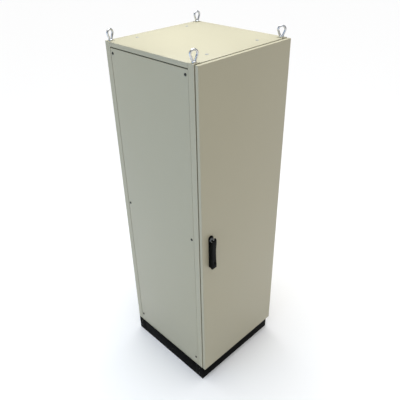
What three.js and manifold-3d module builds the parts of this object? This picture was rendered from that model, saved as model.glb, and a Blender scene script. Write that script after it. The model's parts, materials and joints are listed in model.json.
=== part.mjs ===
// A free-standing DC combiner cabinet: a welded steel frame on a plinth, closed by screwed panels, a
// roof and one front door with a swing handle and a geared rod lock. Inside, a mounting plate carries
// three double-pole fuse switches, two copper combs, the main switch and the surge arrester.
// Millimetres. +Z is up, the door faces -Y, and the origin is on the floor under the cabinet's middle.
import * as THREE from "three";
import { mergeVertices } from "three/addons/utils/BufferGeometryUtils.js";
import Module from "manifold-3d";

const wasm = await Module();
wasm.setup();

// ---------- Driving dimensions ----------

const WIDTH = 600; // outside width of the frame and the door
const DEPTH = 600; // frame depth, without the door
const BODY_HEIGHT = 1800; // frame height above the plinth
const PLINTH_HEIGHT = 100;
const PLINTH_CORNER = 60; // how far the front and rear beams return round the corners
const PLINTH_FLANGE = 30;
const PLINTH_SEAM = 0.5; // between the beams' returns and the side pieces
const GAP = 0.3; // left between faces that touch
const SHEET = 2; // frame, roof, door and plinth steel
const PANEL_SHEET = 1.5; // side and rear panels

const POST = 34; // visible face of a corner post
const POST_LIP = 14; // return lip on each edge of a post
const RAIL_HEIGHT = 34;
const RAIL_FLANGE = 46; // horizontal flange of the top and bottom rails
const RAIL_SETBACK = 14; // rails stand this far behind the outer faces
const SILL_HEIGHT = 7; // upstand under the side and rear panels

const ROOF_FLANGE = 22;
const ROOF_GAP = 5; // between the roof's edge and the panels below it
const PANEL_FOLD = 12;
const PANEL_GAP = 1.5; // around each panel and the roof

const DOOR_GAP = 7; // between the frame's face and the door's back, filled by the gasket
const DOOR_MARGIN = 2; // door edge inside the frame's height, at the top and the bottom
const DOOR_FLANGE = 34; // flange folded in behind the door's edges
const GASKET_WIDTH = 10;
const GASKET_INSET = 26; // gasket's middle from the door's side edges

const HINGE_PIN_R = 3;
const PIN_CLEARANCE = 0.4;
const KNUCKLE_WALL = 1.6;
const KNUCKLE_CLEARANCE = 1; // between a knuckle and the door's sheet
const HINGE_ARM = 6; // arm thickness
const HINGE_ARM_HALF = 20; // half of the arm's height
const HINGE_FOOT = 8; // how far the arm's foot reaches past its ends
const HINGE_SLOT = 1.5; // clearance round the arm where it passes the door's flange
const HINGE_EAR = 8;
const EAR_CLEARANCE = 0.6;
const BRACKET_WEB = 4;
const HINGE_INSET = 200; // top and bottom hinges from the door's ends

const HANDLE_LENGTH = 198;
const HANDLE_WIDTH = 30;
const HANDLE_PLATE = 6;
const HANDLE_CENTRE = 857; // above the plinth
const HUB_FROM_END = 22; // handle shaft from the upper end of its plate
const SHAFT_R = 8;
const SHAFT_CLEARANCE = 1;
const SPIGOT_R = 5;
const LEVER_WIDTH = 26;
const LEVER_PIN_R = 3;
const CYLINDER_R = 8;

const GEAR_MODULE = 1.5;
const PINION_TEETH = 15;
const GEAR_BACKLASH = 0.5;
const ROD_WIDTH = 6;
const ROD_THICKNESS = 6;
const ROD_TIP_GAP = 1; // between a rod's tip and its keeper
const ROD_SIDE_GAP = 0.375; // between the rods and the gear housing
const ROD_PLAY = 0.5; // round a rod in its guide
const BEARING_GAP = 0.6; // round the shaft in the gear housing
const ROD_OVERLAP = 34; // each rod's end past the pinion's axis
const HOUSING_WALL = 2;
const HOUSING_GAP = 2.5; // between the gear housing and the door's flange
const HOUSING_HALF_HEIGHT = 40;
const KEEPER_DROP = 14; // how far a keeper reaches from its rail
const KEEPER_SIDE = 2.5; // how far a keeper is wider than its rod on each side
const GUIDE_OFFSET = 70; // rod guide from its keeper

const EYE_INSET = 19; // lifting eye from the outer faces
const EYE_WIRE_R = 5;
const EYE_BEND_R = 16.5;
const EYE_RISE = 27; // centre of the bend above the collar
const EYE_COLLAR_R = 11;
const EYE_COLLAR = 7;
const EYE_SHANK_R = 6;

const STIFFENER_GAP = 8.5; // between the gear housing and the door's stiffener
const STIFFENER_BAR = 20;
const STIFFENER_DEPTH = 16;
const POCKET_SIDE = 82; // document pocket from the stiffener's outer edges
const POCKET_HEIGHT = 240;
const POCKET_DEPTH = 34;
const POCKET_WALL = 3;
const POCKET_RISE = 400; // above the plinth

const PLATE_SIDE = 50; // mounting plate from the cabinet's sides
const PLATE_MARGIN = 80; // mounting plate from the frame's top and bottom
const PLATE_BACK_SPACE = 103; // its front face from the back of the frame
const PLATE_SHEET = 3;
const PLATE_FOLD = 18;
const BRACKET_HALF = 20; // half of a plate bracket's height
const BRACKET_INSET = 120; // brackets from the plate's ends
const BRACKET_LAP = 12; // how far a bracket reaches in behind the plate

const SWITCH_COUNT = 3;
const SWITCH_WIDTH = 130;
const SWITCH_SPACE = 20; // between two fuse switches
const SWITCH_HEIGHT = 230;
const SWITCH_DEPTH = 77;
const LID_DEPTH = 30;
const LID_INSET = 25; // lid's ends from the switch's ends
const LID_HINGE_R = 7.7;
const LID_GRIP = 14; // how far the lid's grip stands out
const WELL_HALF_WIDTH = 23;
const WELL_DEPTH = 50;
const WELL_INSET = 40; // wells from the switch's ends

const BAR_HEIGHT = 30;
const BAR_THICKNESS = 6;
const TAB_WIDTH = 24;
const POLE_OFFSET = 32; // each pole from its switch's middle
const BAR_END = 10; // combs past the outer switches
const GUARD_END = 20; // guard past the combs
const GUARD_LEG_SPACE = 11; // guard legs from the nearest tab of the outer switches
const SWITCH_TO_BAR = 75; // fuse switches to the front comb
const BAR_STEP = 40; // front comb to the rear one
const BAR_TO_MAIN = 35; // rear comb to the main switch
const BAR_RECESS = 2; // front comb behind the switches' faces
const POLE_DEPTH = 28; // rear comb behind the front one
const OUTPUT_OFFSET = 60; // output terminals and glands from the middle
const RISER_HALF = 20;
const GUARD_SHEET = 3;
const GUARD_STAND = 25; // guard in front of the switches' faces

const MAIN_WIDTH = 240;
const MAIN_HEIGHT = 240;
const MAIN_DEPTH = 127;
const MAIN_STEP = 35; // its terminal shelves behind its face
const KNOB_R = 42;

const RAIL_DROP = 140; // mounting rail below the plate's top
const RAIL_TO_MAIN = 120; // mounting rail above the main switch
const RAIL_END = 20; // mounting rail from the plate's edges
const MODULE = 17.5; // width of a module on the mounting rail
const CARTRIDGES = 3;
const SURGE_INSET = 50; // surge arrester from the plate's edge
const EARTH_END = 100; // earth bar from the plate's edges
const EARTH_RISE = 60; // earth bar above the plate's bottom

const GLAND_SHEET = 3;
const GLAND_BORE_R = 15;
const GLAND_THREAD_R = 22;
const GLAND_SETBACK = 170; // output glands from the back
const SLEEVE_BORE_R = 12;
const SLEEVE_WALL = 4;
const SLEEVE_PITCH = 45;
const ENTRY_SETBACK = 190; // string cable entry from the front
const ENTRY_HALF_DEPTH = 30;
const ENTRY_LIP = 12;

// ---------- Derived planes ----------

const X = WIDTH / 2;
const Y = DEPTH / 2;
const FLOOR = PLINTH_HEIGHT; // underside of the frame
const TOP = PLINTH_HEIGHT + BODY_HEIGHT;

// The door is as deep as its hinge knuckles need, between its front sheet and its flange.
const HINGE_KNUCKLE_R = HINGE_PIN_R + PIN_CLEARANCE + KNUCKLE_WALL;
const HINGE_EDGE = HINGE_KNUCKLE_R + SHEET + KNUCKLE_CLEARANCE;
const DOOR_DEPTH = 2 * HINGE_EDGE;
const DOOR_BACK = -Y - DOOR_GAP;
const DOOR_FRONT = DOOR_BACK - DOOR_DEPTH;
const DOOR_INNER = DOOR_FRONT + SHEET; // inner face of the door's front sheet
const DOOR_LOW = FLOOR + DOOR_MARGIN;
const DOOR_HIGH = TOP - DOOR_MARGIN;
const HINGE_X = X - HINGE_EDGE;
const HINGE_Y = DOOR_FRONT + HINGE_EDGE;

const PITCH_R = (GEAR_MODULE * PINION_TEETH) / 2;
const TOOTH_PITCH = Math.PI * GEAR_MODULE;
const DEDENDUM = 1.25 * GEAR_MODULE;
const ROD_FACE = PITCH_R + DEDENDUM; // rod's toothed face from the pinion's axis
const ROD_OUTER = ROD_FACE + ROD_WIDTH;
const CHANNEL_HALF = ROD_OUTER + ROD_SIDE_GAP;
const HOUSING_HALF = CHANNEL_HALF + HOUSING_WALL;
const HANDLE_INSET = DOOR_FLANGE + HOUSING_GAP + HOUSING_HALF; // handle's middle from the free edge
const HUB_X = -X + HANDLE_INSET;
const HANDLE_Z = FLOOR + HANDLE_CENTRE;
const HUB_Z = HANDLE_Z + HANDLE_LENGTH / 2 - HUB_FROM_END;
const KEEPER_LOW = FLOOR + RAIL_HEIGHT + KEEPER_DROP;
const KEEPER_HIGH = TOP - RAIL_HEIGHT - KEEPER_DROP;
const STIFFENER_INSET = HANDLE_INSET + HOUSING_HALF + STIFFENER_GAP;

// The equipment hangs from the mounting plate's top: rail, main switch, combs, fuse switches.
const PLATE_LOW = FLOOR + PLATE_MARGIN;
const PLATE_HIGH = TOP - PLATE_MARGIN;
const PLATE_HALF = X - PLATE_SIDE;
const PLATE_FACE = Y - PLATE_BACK_SPACE;
const SEAT = PLATE_FACE - GAP; // back of everything that stands on the plate
const RAIL_Z = PLATE_HIGH - RAIL_DROP;
const MAIN_LOW = RAIL_Z - RAIL_TO_MAIN - MAIN_HEIGHT;
const REAR_BAR_Z = MAIN_LOW - BAR_TO_MAIN - BAR_HEIGHT;
const FRONT_BAR_Z = REAR_BAR_Z - BAR_STEP - BAR_HEIGHT;
const SWITCH_TOP = FRONT_BAR_Z - SWITCH_TO_BAR;
const SWITCH_LOW = SWITCH_TOP - SWITCH_HEIGHT;
const SWITCH_FRONT = SEAT - SWITCH_DEPTH;
const SWITCH_PITCH = SWITCH_WIDTH + SWITCH_SPACE;
const switchX = (i) => (i - (SWITCH_COUNT - 1) / 2) * SWITCH_PITCH;

// ---------- Finishes ----------

const finish = (color, roughness, metalness, extra = {}) =>
  new THREE.MeshStandardMaterial({ color, roughness, metalness, ...extra });

const paint = finish(0xcfcdc2, 0.55, 0.1);
const plinthPaint = finish(0x101010, 0.5, 0.1);
const zinc = finish(0xc4c6c8, 0.35, 0.9);
const galvanised = finish(0xb4b8ba, 0.45, 0.85);
const blackPlastic = finish(0x111312, 0.45, 0);
const foam = finish(0x1d1d1d, 0.9, 0);
const dieCast = finish(0x8d9092, 0.5, 0.8);
const copper = finish(0xb87348, 0.3, 1);
const greyPlastic = finish(0x9a9c9a, 0.5, 0);
const darkPlastic = finish(0x2b2d2f, 0.5, 0);
const redPlastic = finish(0xb3201c, 0.4, 0);
const clear = finish(0xdfe8ea, 0.1, 0, { transparent: true, opacity: 0.35 });

// ---------- Solids ----------

const toSolid = (geometry) => {
  const bare = geometry.index ? geometry.toNonIndexed() : geometry.clone();
  bare.deleteAttribute("normal");
  bare.deleteAttribute("uv");
  const merged = mergeVertices(bare, 1e-4);
  return new wasm.Manifold(
    new wasm.Mesh({
      numProp: 3,
      vertProperties: merged.attributes.position.array,
      triVerts: new Uint32Array(merged.index.array),
    }),
  );
};

const toGeometry = (made) => {
  const { numProp, numVert, vertProperties, triVerts } = made.getMesh();
  const position = new Float32Array(numVert * 3);
  for (let i = 0; i < numVert; i++) {
    position.set(vertProperties.subarray(i * numProp, i * numProp + 3), i * 3);
  }
  const geometry = new THREE.BufferGeometry();
  geometry.setAttribute("position", new THREE.BufferAttribute(position, 3));
  geometry.setIndex(new THREE.BufferAttribute(triVerts, 1));
  return geometry;
};

// A box between two planes on each axis.
const box = (x, y, z) => {
  const size = [x[1] - x[0], y[1] - y[0], z[1] - z[0]];
  const middle = [(x[0] + x[1]) / 2, (y[0] + y[1]) / 2, (z[0] + z[1]) / 2];
  return toSolid(new THREE.BoxGeometry(...size).translate(...middle));
};

const AXES = {
  x: [new THREE.Vector3(0, 1, 0), new THREE.Vector3(0, 0, 1), new THREE.Vector3(1, 0, 0)],
  y: [new THREE.Vector3(0, 0, 1), new THREE.Vector3(1, 0, 0), new THREE.Vector3(0, 1, 0)],
  z: [new THREE.Vector3(1, 0, 0), new THREE.Vector3(0, 1, 0), new THREE.Vector3(0, 0, 1)],
};

// A prism of an outline along an axis. Outlines are (y, z) for x, (z, x) for y and (x, y) for z.
const prism = (axis, outline, from, to) => {
  const shape = outline instanceof THREE.Shape
    ? outline
    : new THREE.Shape(outline.map(([u, v]) => new THREE.Vector2(u, v)));
  const geometry = new THREE.ExtrudeGeometry(shape, {
    depth: to - from,
    bevelEnabled: false,
    curveSegments: 8,
  });
  geometry.translate(0, 0, from);
  geometry.applyMatrix4(new THREE.Matrix4().makeBasis(...AXES[axis]));
  return toSolid(geometry);
};

// A round bar along an axis through a point (the point's own value on that axis is ignored).
const rod = (axis, [x, y, z], radius, from, to, segments = 24) => {
  const at = { x: [y, z], y: [z, x], z: [x, y] }[axis];
  const outline = [];
  for (let i = 0; i < segments; i++) {
    const turn = ((i + 0.5) * 2 * Math.PI) / segments;
    outline.push([at[0] + radius * Math.cos(turn), at[1] + radius * Math.sin(turn)]);
  }
  return prism(axis, outline, from, to);
};

const join = (...solids) => solids.reduce((sum, next) => sum.add(next));
const cut = (solid, ...tools) => tools.reduce((left, tool) => left.subtract(tool), solid);

const group = new THREE.Group();
const add = (name, solid, material) => {
  const mesh = new THREE.Mesh(toGeometry(solid), material);
  mesh.name = name;
  group.add(mesh);
};

const corners = [
  ["front_left", -1, -1],
  ["front_right", 1, -1],
  ["rear_left", -1, 1],
  ["rear_right", 1, 1],
];

// A span between two distances from the middle, on the side that sign gives.
const side = (sign, near, far) => (sign > 0 ? [near, far] : [-far, -near]);

// ---------- Plinth ----------

// A channel open inwards, with returns round both corners.
function plinthBeam(name, sign) {
  const behind = Y - PLINTH_CORNER - 1;
  const outer = box([-X, X], side(sign, Y - PLINTH_CORNER, Y), [0, FLOOR - GAP]);
  const inner = box([-X + SHEET, X - SHEET], side(sign, behind, Y - SHEET), [
    SHEET,
    FLOOR - GAP - SHEET,
  ]);
  const well = X - PLINTH_FLANGE - SHEET;
  const clearance = box([-well, well], side(sign, behind, Y - PLINTH_FLANGE), [-1, FLOOR]);
  add(name, cut(outer, inner, clearance), plinthPaint);
}

function plinthSide(name, sign) {
  const reach = Y - PLINTH_CORNER - PLINTH_SEAM;
  const web = box(side(sign, X - SHEET, X), [-reach, reach], [0, FLOOR - GAP]);
  const flange = side(sign, X - PLINTH_FLANGE, X);
  const foot = box(flange, [-reach, reach], [0, SHEET]);
  const head = box(flange, [-reach, reach], [FLOOR - GAP - SHEET, FLOOR - GAP]);
  add(name, join(web, foot, head), plinthPaint);
}

plinthBeam("plinth_front", -1);
plinthBeam("plinth_rear", 1);
plinthSide("plinth_left", -1);
plinthSide("plinth_right", 1);

// ---------- Welded frame ----------

function post(sx, sy) {
  const outline = [
    [0, 0],
    [POST, 0],
    [POST, POST_LIP],
    [POST - SHEET, POST_LIP],
    [POST - SHEET, SHEET],
    [SHEET, SHEET],
    [SHEET, POST - SHEET],
    [POST_LIP, POST - SHEET],
    [POST_LIP, POST],
    [0, POST],
  ].map(([u, v]) => [sx * (X - u), sy * (Y - v)]);
  if (sx * sy < 0) outline.reverse();
  return prism("z", outline, FLOOR, TOP);
}

// One square rail ring: an upright web with a flange folded in at one edge.
function railRing(low, high, flangeLow) {
  const outX = X - RAIL_SETBACK + SHEET / 2;
  const outY = Y - RAIL_SETBACK + SHEET / 2;
  const web = cut(
    box([-outX, outX], [-outY, outY], [low, high]),
    box([-outX + SHEET, outX - SHEET], [-outY + SHEET, outY - SHEET], [low - 1, high + 1]),
  );
  const flange = cut(
    box([-outX, outX], [-outY, outY], [flangeLow, flangeLow + SHEET]),
    box(
      [-outX + RAIL_FLANGE, outX - RAIL_FLANGE],
      [-outY + RAIL_FLANGE, outY - RAIL_FLANGE],
      [low - 1, high + 1],
    ),
  );
  return join(web, flange);
}

// A lip flush with the outer faces, joined to the web behind it by a strip.
function lip(axis, sign, lipZ, stripZ) {
  const face = axis === "x" ? X : Y;
  const end = (axis === "x" ? Y : X) - POST + SHEET;
  const back = face - RAIL_SETBACK - SHEET / 2;
  const along = [-end, end];
  const place = (across, height) =>
    axis === "x" ? box(across, along, height) : box(along, across, height);
  return join(
    place(side(sign, face - SHEET, face), lipZ),
    place(side(sign, back, face), stripZ),
  );
}

function plateBracket(sx, z) {
  const height = [z - BRACKET_HALF, z + BRACKET_HALF];
  const seat = PLATE_FACE + PLATE_FOLD + PLATE_SHEET + GAP;
  const outer = X - POST + SHEET;
  const wing = box(side(sx, X - POST, outer), [seat, Y - SHEET], height);
  const pad = box(side(sx, PLATE_HALF - BRACKET_LAP, outer), [seat, seat + PLATE_SHEET], height);
  return join(wing, pad);
}

// A block under the front rail that a lock rod's tip comes up to.
function keeper(sign, low, high) {
  const middle = HUB_X + sign * (ROD_FACE + ROD_WIDTH / 2);
  const half = ROD_WIDTH / 2 + KEEPER_SIDE;
  return box([middle - half, middle + half], [-Y + GAP, -Y + RAIL_SETBACK], [low, high]);
}

function frame() {
  const topFlange = TOP - SHEET - GAP - SHEET;
  const parts = [
    railRing(FLOOR, FLOOR + RAIL_HEIGHT, FLOOR),
    railRing(TOP - RAIL_HEIGHT, topFlange + SHEET, topFlange),
  ];
  for (const [, sx, sy] of corners) {
    parts.push(post(sx, sy));
    parts.push(box(side(sx, X - POST, X), side(sy, Y - POST, Y), [TOP - 4, TOP]));
  }
  const sill = [FLOOR, FLOOR + SILL_HEIGHT];
  const sheetLow = [FLOOR, FLOOR + SHEET];
  parts.push(lip("x", -1, sill, sheetLow), lip("x", 1, sill, sheetLow), lip("y", 1, sill, sheetLow));
  parts.push(lip("y", -1, [FLOOR, FLOOR + RAIL_HEIGHT], sheetLow));
  const underRail = TOP - RAIL_HEIGHT;
  parts.push(
    lip("y", -1, [underRail, TOP - ROOF_FLANGE - 0.5], [underRail, underRail + SHEET]),
  );
  for (const sx of [-1, 1]) {
    parts.push(plateBracket(sx, PLATE_LOW + BRACKET_INSET));
    parts.push(plateBracket(sx, PLATE_HIGH - BRACKET_INSET));
  }
  parts.push(keeper(1, FLOOR + 1, KEEPER_LOW), keeper(-1, KEEPER_HIGH, TOP - RAIL_HEIGHT + 1));
  const holes = corners.map(([, sx, sy]) =>
    rod("z", [sx * (X - EYE_INSET), sy * (Y - EYE_INSET), 0], EYE_SHANK_R + 0.5, TOP - 30, TOP + 1),
  );
  return cut(join(...parts), ...holes);
}

add("welded_frame", frame(), paint);

// ---------- Roof and panels ----------

function roof() {
  const notch = POST + PANEL_GAP;
  const sheet = box([-X, X], [-Y, Y], [TOP - SHEET, TOP]);
  const skirt = cut(
    box([-X, X], [-Y, Y], [TOP - ROOF_FLANGE, TOP]),
    box([-X + SHEET, X - SHEET], [-Y + SHEET, Y - SHEET], [TOP - ROOF_FLANGE - 1, TOP + 1]),
  );
  const notches = corners.map(([, sx, sy]) =>
    box(side(sx, X - notch, X + 1), side(sy, Y - notch, Y + 1), [TOP - ROOF_FLANGE - 1, TOP + 1]),
  );
  return cut(join(sheet, skirt), ...notches);
}

// A tray with its edges folded in. across is the panel's outer plane and sign its outward side.
function panel(axis, sign) {
  const half = (axis === "x" ? Y : X) - POST - PANEL_GAP;
  const reach = axis === "x" ? X : Y;
  const low = FLOOR + SILL_HEIGHT + PANEL_GAP;
  const high = TOP - ROOF_FLANGE - ROOF_GAP;
  const s = PANEL_SHEET;
  const place = (across, along, height) =>
    axis === "x" ? box(across, along, height) : box(along, across, height);
  const outer = place(side(sign, reach - PANEL_FOLD, reach), [-half, half], [low, high]);
  const inner = place(side(sign, reach - PANEL_FOLD - 1, reach - s), [-half + s, half - s], [
    low + s,
    high - s,
  ]);
  return cut(outer, inner);
}

add("roof_panel", roof(), paint);
add("side_panel_left", panel("x", -1), paint);
add("side_panel_right", panel("x", 1), paint);
add("rear_panel", panel("y", 1), paint);

// ---------- Bottom plate and glands ----------

const GLANDS = [
  ["output_gland_positive", -OUTPUT_OFFSET],
  ["output_gland_negative", OUTPUT_OFFSET],
];
const GLAND_Y = Y - GLAND_SETBACK;
const GLAND_PLATE = [FLOOR + SHEET + GAP, FLOOR + SHEET + GAP + GLAND_SHEET];
const GLAND_HOLE_SIDES = 12;
const ENTRY_Y = -Y + ENTRY_SETBACK;
const ENTRY_HALF = SWITCH_COUNT * SLEEVE_PITCH + 5;

function glandPlate() {
  const [low, high] = GLAND_PLATE;
  const halfX = X - POST - 4;
  const halfY = Y - POST - 4;
  const radius = (GLAND_THREAD_R + 0.5) / Math.cos(Math.PI / GLAND_HOLE_SIDES);
  const holes = GLANDS.map(([, x]) =>
    rod("z", [x, GLAND_Y, 0], radius, low - 1, high + 1, GLAND_HOLE_SIDES),
  );
  const entry = box(
    [-ENTRY_HALF, ENTRY_HALF],
    [ENTRY_Y - ENTRY_HALF_DEPTH, ENTRY_Y + ENTRY_HALF_DEPTH],
    [low - 1, high + 1],
  );
  return cut(box([-halfX, halfX], [-halfY, halfY], GLAND_PLATE), entry, ...holes);
}

// One moulded plate with a sleeve for each string cable: two to a fuse switch.
function cableEntry() {
  const [low, high] = GLAND_PLATE;
  const slab = (reach, height) =>
    box(
      [-ENTRY_HALF - reach, ENTRY_HALF + reach],
      [ENTRY_Y - ENTRY_HALF_DEPTH - reach, ENTRY_Y + ENTRY_HALF_DEPTH + reach],
      height,
    );
  const flange = slab(ENTRY_LIP, [high + GAP, high + GAP + 4]);
  const fill = slab(-GAP, [low - 3, high + 1]);
  const sleeves = [];
  const bores = [];
  for (let i = 0; i < 2 * SWITCH_COUNT; i++) {
    const at = [(i - SWITCH_COUNT + 0.5) * SLEEVE_PITCH, ENTRY_Y, 0];
    sleeves.push(rod("z", at, SLEEVE_BORE_R + SLEEVE_WALL, low - 24, high + 1, 16));
    bores.push(rod("z", at, SLEEVE_BORE_R, low - 30, high + 10, 16));
  }
  return cut(join(flange, fill, ...sleeves), ...bores);
}

function gland(x) {
  const [low, high] = GLAND_PLATE;
  const profile = [
    [GLAND_BORE_R, low - 45],
    [20, low - 45],
    [25, low - 38],
    [25, low - 20],
    [28, low - 18],
    [28, low - GAP],
    [GLAND_THREAD_R, low - GAP],
    [GLAND_THREAD_R, high + GAP],
    [29, high + GAP],
    [29, high + 8],
    [GLAND_THREAD_R, high + 8],
    [GLAND_THREAD_R, high + 14],
    [GLAND_BORE_R, high + 14],
    [GLAND_BORE_R, low - 45],
  ].map(([r, z]) => new THREE.Vector2(r, z));
  const lathe = new THREE.LatheGeometry(profile, 20);
  return toSolid(lathe.rotateX(Math.PI / 2).translate(x, GLAND_Y, 0));
}

add("gland_plate", glandPlate(), galvanised);
add("cable_entry_plate", cableEntry(), darkPlastic);
for (const [name, x] of GLANDS) add(name, gland(x), darkPlastic);

// ---------- Lifting eyes ----------

// A wire bent into a pear-shaped eye, from the collar round the bend and back to the collar.
class EyePath extends THREE.Curve {
  constructor() {
    super();
    const neck = EYE_WIRE_R * 0.9;
    this.start = new THREE.Vector2(-neck, -EYE_WIRE_R);
    const rise = EYE_RISE - this.start.y;
    const distance = Math.hypot(this.start.x, rise);
    const leg = Math.sqrt(distance ** 2 - EYE_BEND_R ** 2);
    const lean = Math.asin(EYE_BEND_R / distance) - Math.atan2(neck, rise);
    this.turn = Math.PI / 2 + lean; // half of the bend's angle, from the top
    this.leg = leg;
    this.length = 2 * (leg + EYE_BEND_R * this.turn);
  }
  getPoint(t, target = new THREE.Vector3()) {
    const half = t > 0.5 ? 1 - t : t;
    const along = half * this.length;
    let x, z;
    if (along < this.leg) {
      const x1 = -EYE_BEND_R * Math.sin(this.turn);
      const z1 = EYE_RISE + EYE_BEND_R * Math.cos(this.turn);
      x = this.start.x + ((x1 - this.start.x) * along) / this.leg;
      z = this.start.y + ((z1 - this.start.y) * along) / this.leg;
    } else {
      const angle = this.turn - (along - this.leg) / EYE_BEND_R;
      x = -EYE_BEND_R * Math.sin(angle);
      z = EYE_RISE + EYE_BEND_R * Math.cos(angle);
    }
    return target.set(t > 0.5 ? -x : x, 0, z);
  }
}

function liftingEye(x, y, yaw) {
  const section = new THREE.Shape();
  section.absarc(0, 0, EYE_WIRE_R, 0, 2 * Math.PI);
  const wire = new THREE.ExtrudeGeometry(section, {
    steps: 32,
    curveSegments: 4,
    extrudePath: new EyePath(),
  });
  wire.translate(0, 0, EYE_COLLAR).rotateZ(yaw).translate(x, y, TOP + GAP);
  const collar = rod("z", [x, y, 0], EYE_COLLAR_R, TOP + GAP, TOP + GAP + EYE_COLLAR);
  const shank = rod("z", [x, y, 0], EYE_SHANK_R, TOP - 22, TOP + GAP + 1);
  return join(toSolid(wire), collar, shank);
}

const EYE_YAW = { front_left: -0.25, front_right: -0.8, rear_left: 0.18, rear_right: -0.1 };
for (const [name, sx, sy] of corners) {
  const eye = liftingEye(sx * (X - EYE_INSET), sy * (Y - EYE_INSET), EYE_YAW[name]);
  add("lifting_eye_" + name, eye, zinc);
}

// ---------- Door ----------

const HINGES = [
  ["bottom", DOOR_LOW + HINGE_INSET],
  ["middle", (DOOR_LOW + DOOR_HIGH) / 2],
  ["top", DOOR_HIGH - HINGE_INSET],
];

function doorPanel() {
  const tray = cut(
    box([-X, X], [DOOR_FRONT, DOOR_BACK], [DOOR_LOW, DOOR_HIGH]),
    box([-X + SHEET, X - SHEET], [DOOR_INNER, DOOR_BACK - SHEET], [
      DOOR_LOW + SHEET,
      DOOR_HIGH - SHEET,
    ]),
    box([-X + DOOR_FLANGE, X - DOOR_FLANGE], [DOOR_INNER, DOOR_BACK + 1], [
      DOOR_LOW + DOOR_FLANGE,
      DOOR_HIGH - DOOR_FLANGE,
    ]),
  );
  const slots = HINGES.map(([, z]) =>
    box([HINGE_X - HINGE_ARM / 2 - HINGE_SLOT, X + 1], [DOOR_INNER, DOOR_BACK + 1], [
      z - HINGE_ARM_HALF - HINGE_SLOT,
      z + HINGE_ARM_HALF + HINGE_SLOT,
    ]),
  );
  const bore = SHAFT_R + SHAFT_CLEARANCE;
  const shaftHole = rod("y", [HUB_X, 0, HUB_Z], bore, DOOR_FRONT - 1, DOOR_INNER + 1);
  return cut(tray, ...slots, shaftHole);
}

function gasket() {
  const half = GASKET_WIDTH / 2;
  const depth = [DOOR_BACK + GAP, -Y - GAP];
  const reachX = X - GASKET_INSET;
  const low = DOOR_LOW + GASKET_INSET;
  const high = DOOR_HIGH - GASKET_INSET;
  return cut(
    box([-reachX - half, reachX + half], depth, [low - half, high + half]),
    box([-reachX + half, reachX - half], [-Y - 10, -Y + 1], [low + half, high - half]),
  );
}

// A square ring of channel, open towards the door's sheet.
function stiffener() {
  const half = X - STIFFENER_INSET;
  const low = DOOR_LOW + STIFFENER_INSET;
  const high = DOOR_HIGH - STIFFENER_INSET;
  const depth = [DOOR_INNER + GAP, DOOR_INNER + GAP + STIFFENER_DEPTH];
  const ring = (inset, y) => {
    const inner = STIFFENER_BAR - inset;
    return cut(
      box([-half + inset, half - inset], y, [low + inset, high - inset]),
      box([-half + inner, half - inner], [y[0] - 1, y[1] + 1], [low + inner, high - inner]),
    );
  };
  return cut(ring(0, depth), ring(PANEL_SHEET, [depth[0] - 1, depth[1] - PANEL_SHEET]));
}

// A shallow tray that is open at the top, with a finger dip in its front edge.
function documentPocket() {
  const half = X - STIFFENER_INSET - POCKET_SIDE;
  const wall = POCKET_WALL;
  const low = FLOOR + POCKET_RISE;
  const high = low + POCKET_HEIGHT;
  const [back, front] = [DOOR_INNER + GAP, DOOR_INNER + GAP + POCKET_DEPTH];
  const inside = box([-half + wall, half - wall], [back + wall, front - wall], [
    low + wall,
    high + 1,
  ]);
  const dip = box([-half / 2, half / 2], [front - wall - 1, front + 1], [high - 40, high + 1]);
  return cut(box([-half, half], [back, front], [low, high]), inside, dip);
}

add("door_panel", doorPanel(), paint);
add("door_gasket", gasket(), foam);
add("door_stiffener", stiffener(), paint);
add("document_pocket", documentPocket(), greyPlastic);

// ---------- Hinges ----------

function hingeArm(z) {
  const half = HINGE_ARM / 2;
  const height = [z - HINGE_ARM_HALF, z + HINGE_ARM_HALF];
  const face = -Y - GAP;
  const arm = box([HINGE_X - half, HINGE_X + half], [HINGE_Y, face], height);
  const foot = box([HINGE_X - 2 * HINGE_KNUCKLE_R, X - 1], [face - SHEET, face], [
    height[0] - HINGE_FOOT,
    height[1] + HINGE_FOOT,
  ]);
  const knuckle = rod("z", [HINGE_X, HINGE_Y, 0], HINGE_KNUCKLE_R, ...height);
  const hole = rod("z", [HINGE_X, HINGE_Y, 0], HINGE_PIN_R + PIN_CLEARANCE, z - 30, z + 30);
  return cut(join(arm, foot, knuckle), hole);
}

function hingeBracket(z) {
  const inner = HINGE_ARM_HALF + EAR_CLEARANCE;
  const outer = inner + HINGE_EAR;
  const back = [DOOR_INNER + GAP, DOOR_BACK - SHEET - KNUCKLE_CLEARANCE];
  const web = [HINGE_X - HINGE_EDGE - BRACKET_WEB, HINGE_X - HINGE_EDGE];
  const plate = box(web, back, [z - outer, z + outer]);
  const reach = [web[0], X - SHEET - KNUCKLE_CLEARANCE];
  const upper = box(reach, back, [z + inner, z + outer]);
  const lower = box(reach, back, [z - outer, z - inner]);
  const hole = rod("z", [HINGE_X, HINGE_Y, 0], HINGE_PIN_R + PIN_CLEARANCE, z - 40, z + 40);
  return cut(join(plate, upper, lower), hole);
}

function hingePin(z) {
  const reach = HINGE_ARM_HALF + EAR_CLEARANCE + HINGE_EAR + GAP;
  const shaft = rod("z", [HINGE_X, HINGE_Y, 0], HINGE_PIN_R, z - reach - 2, z + reach + 1);
  const head = rod("z", [HINGE_X, HINGE_Y, 0], HINGE_PIN_R + 2, z + reach, z + reach + 3);
  return join(shaft, head);
}

for (const [name, z] of HINGES) {
  add("hinge_arm_" + name, hingeArm(z), zinc);
  add("hinge_bracket_" + name, hingeBracket(z), zinc);
  add("hinge_pin_" + name, hingePin(z), zinc);
}

// ---------- Swing handle ----------

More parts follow.
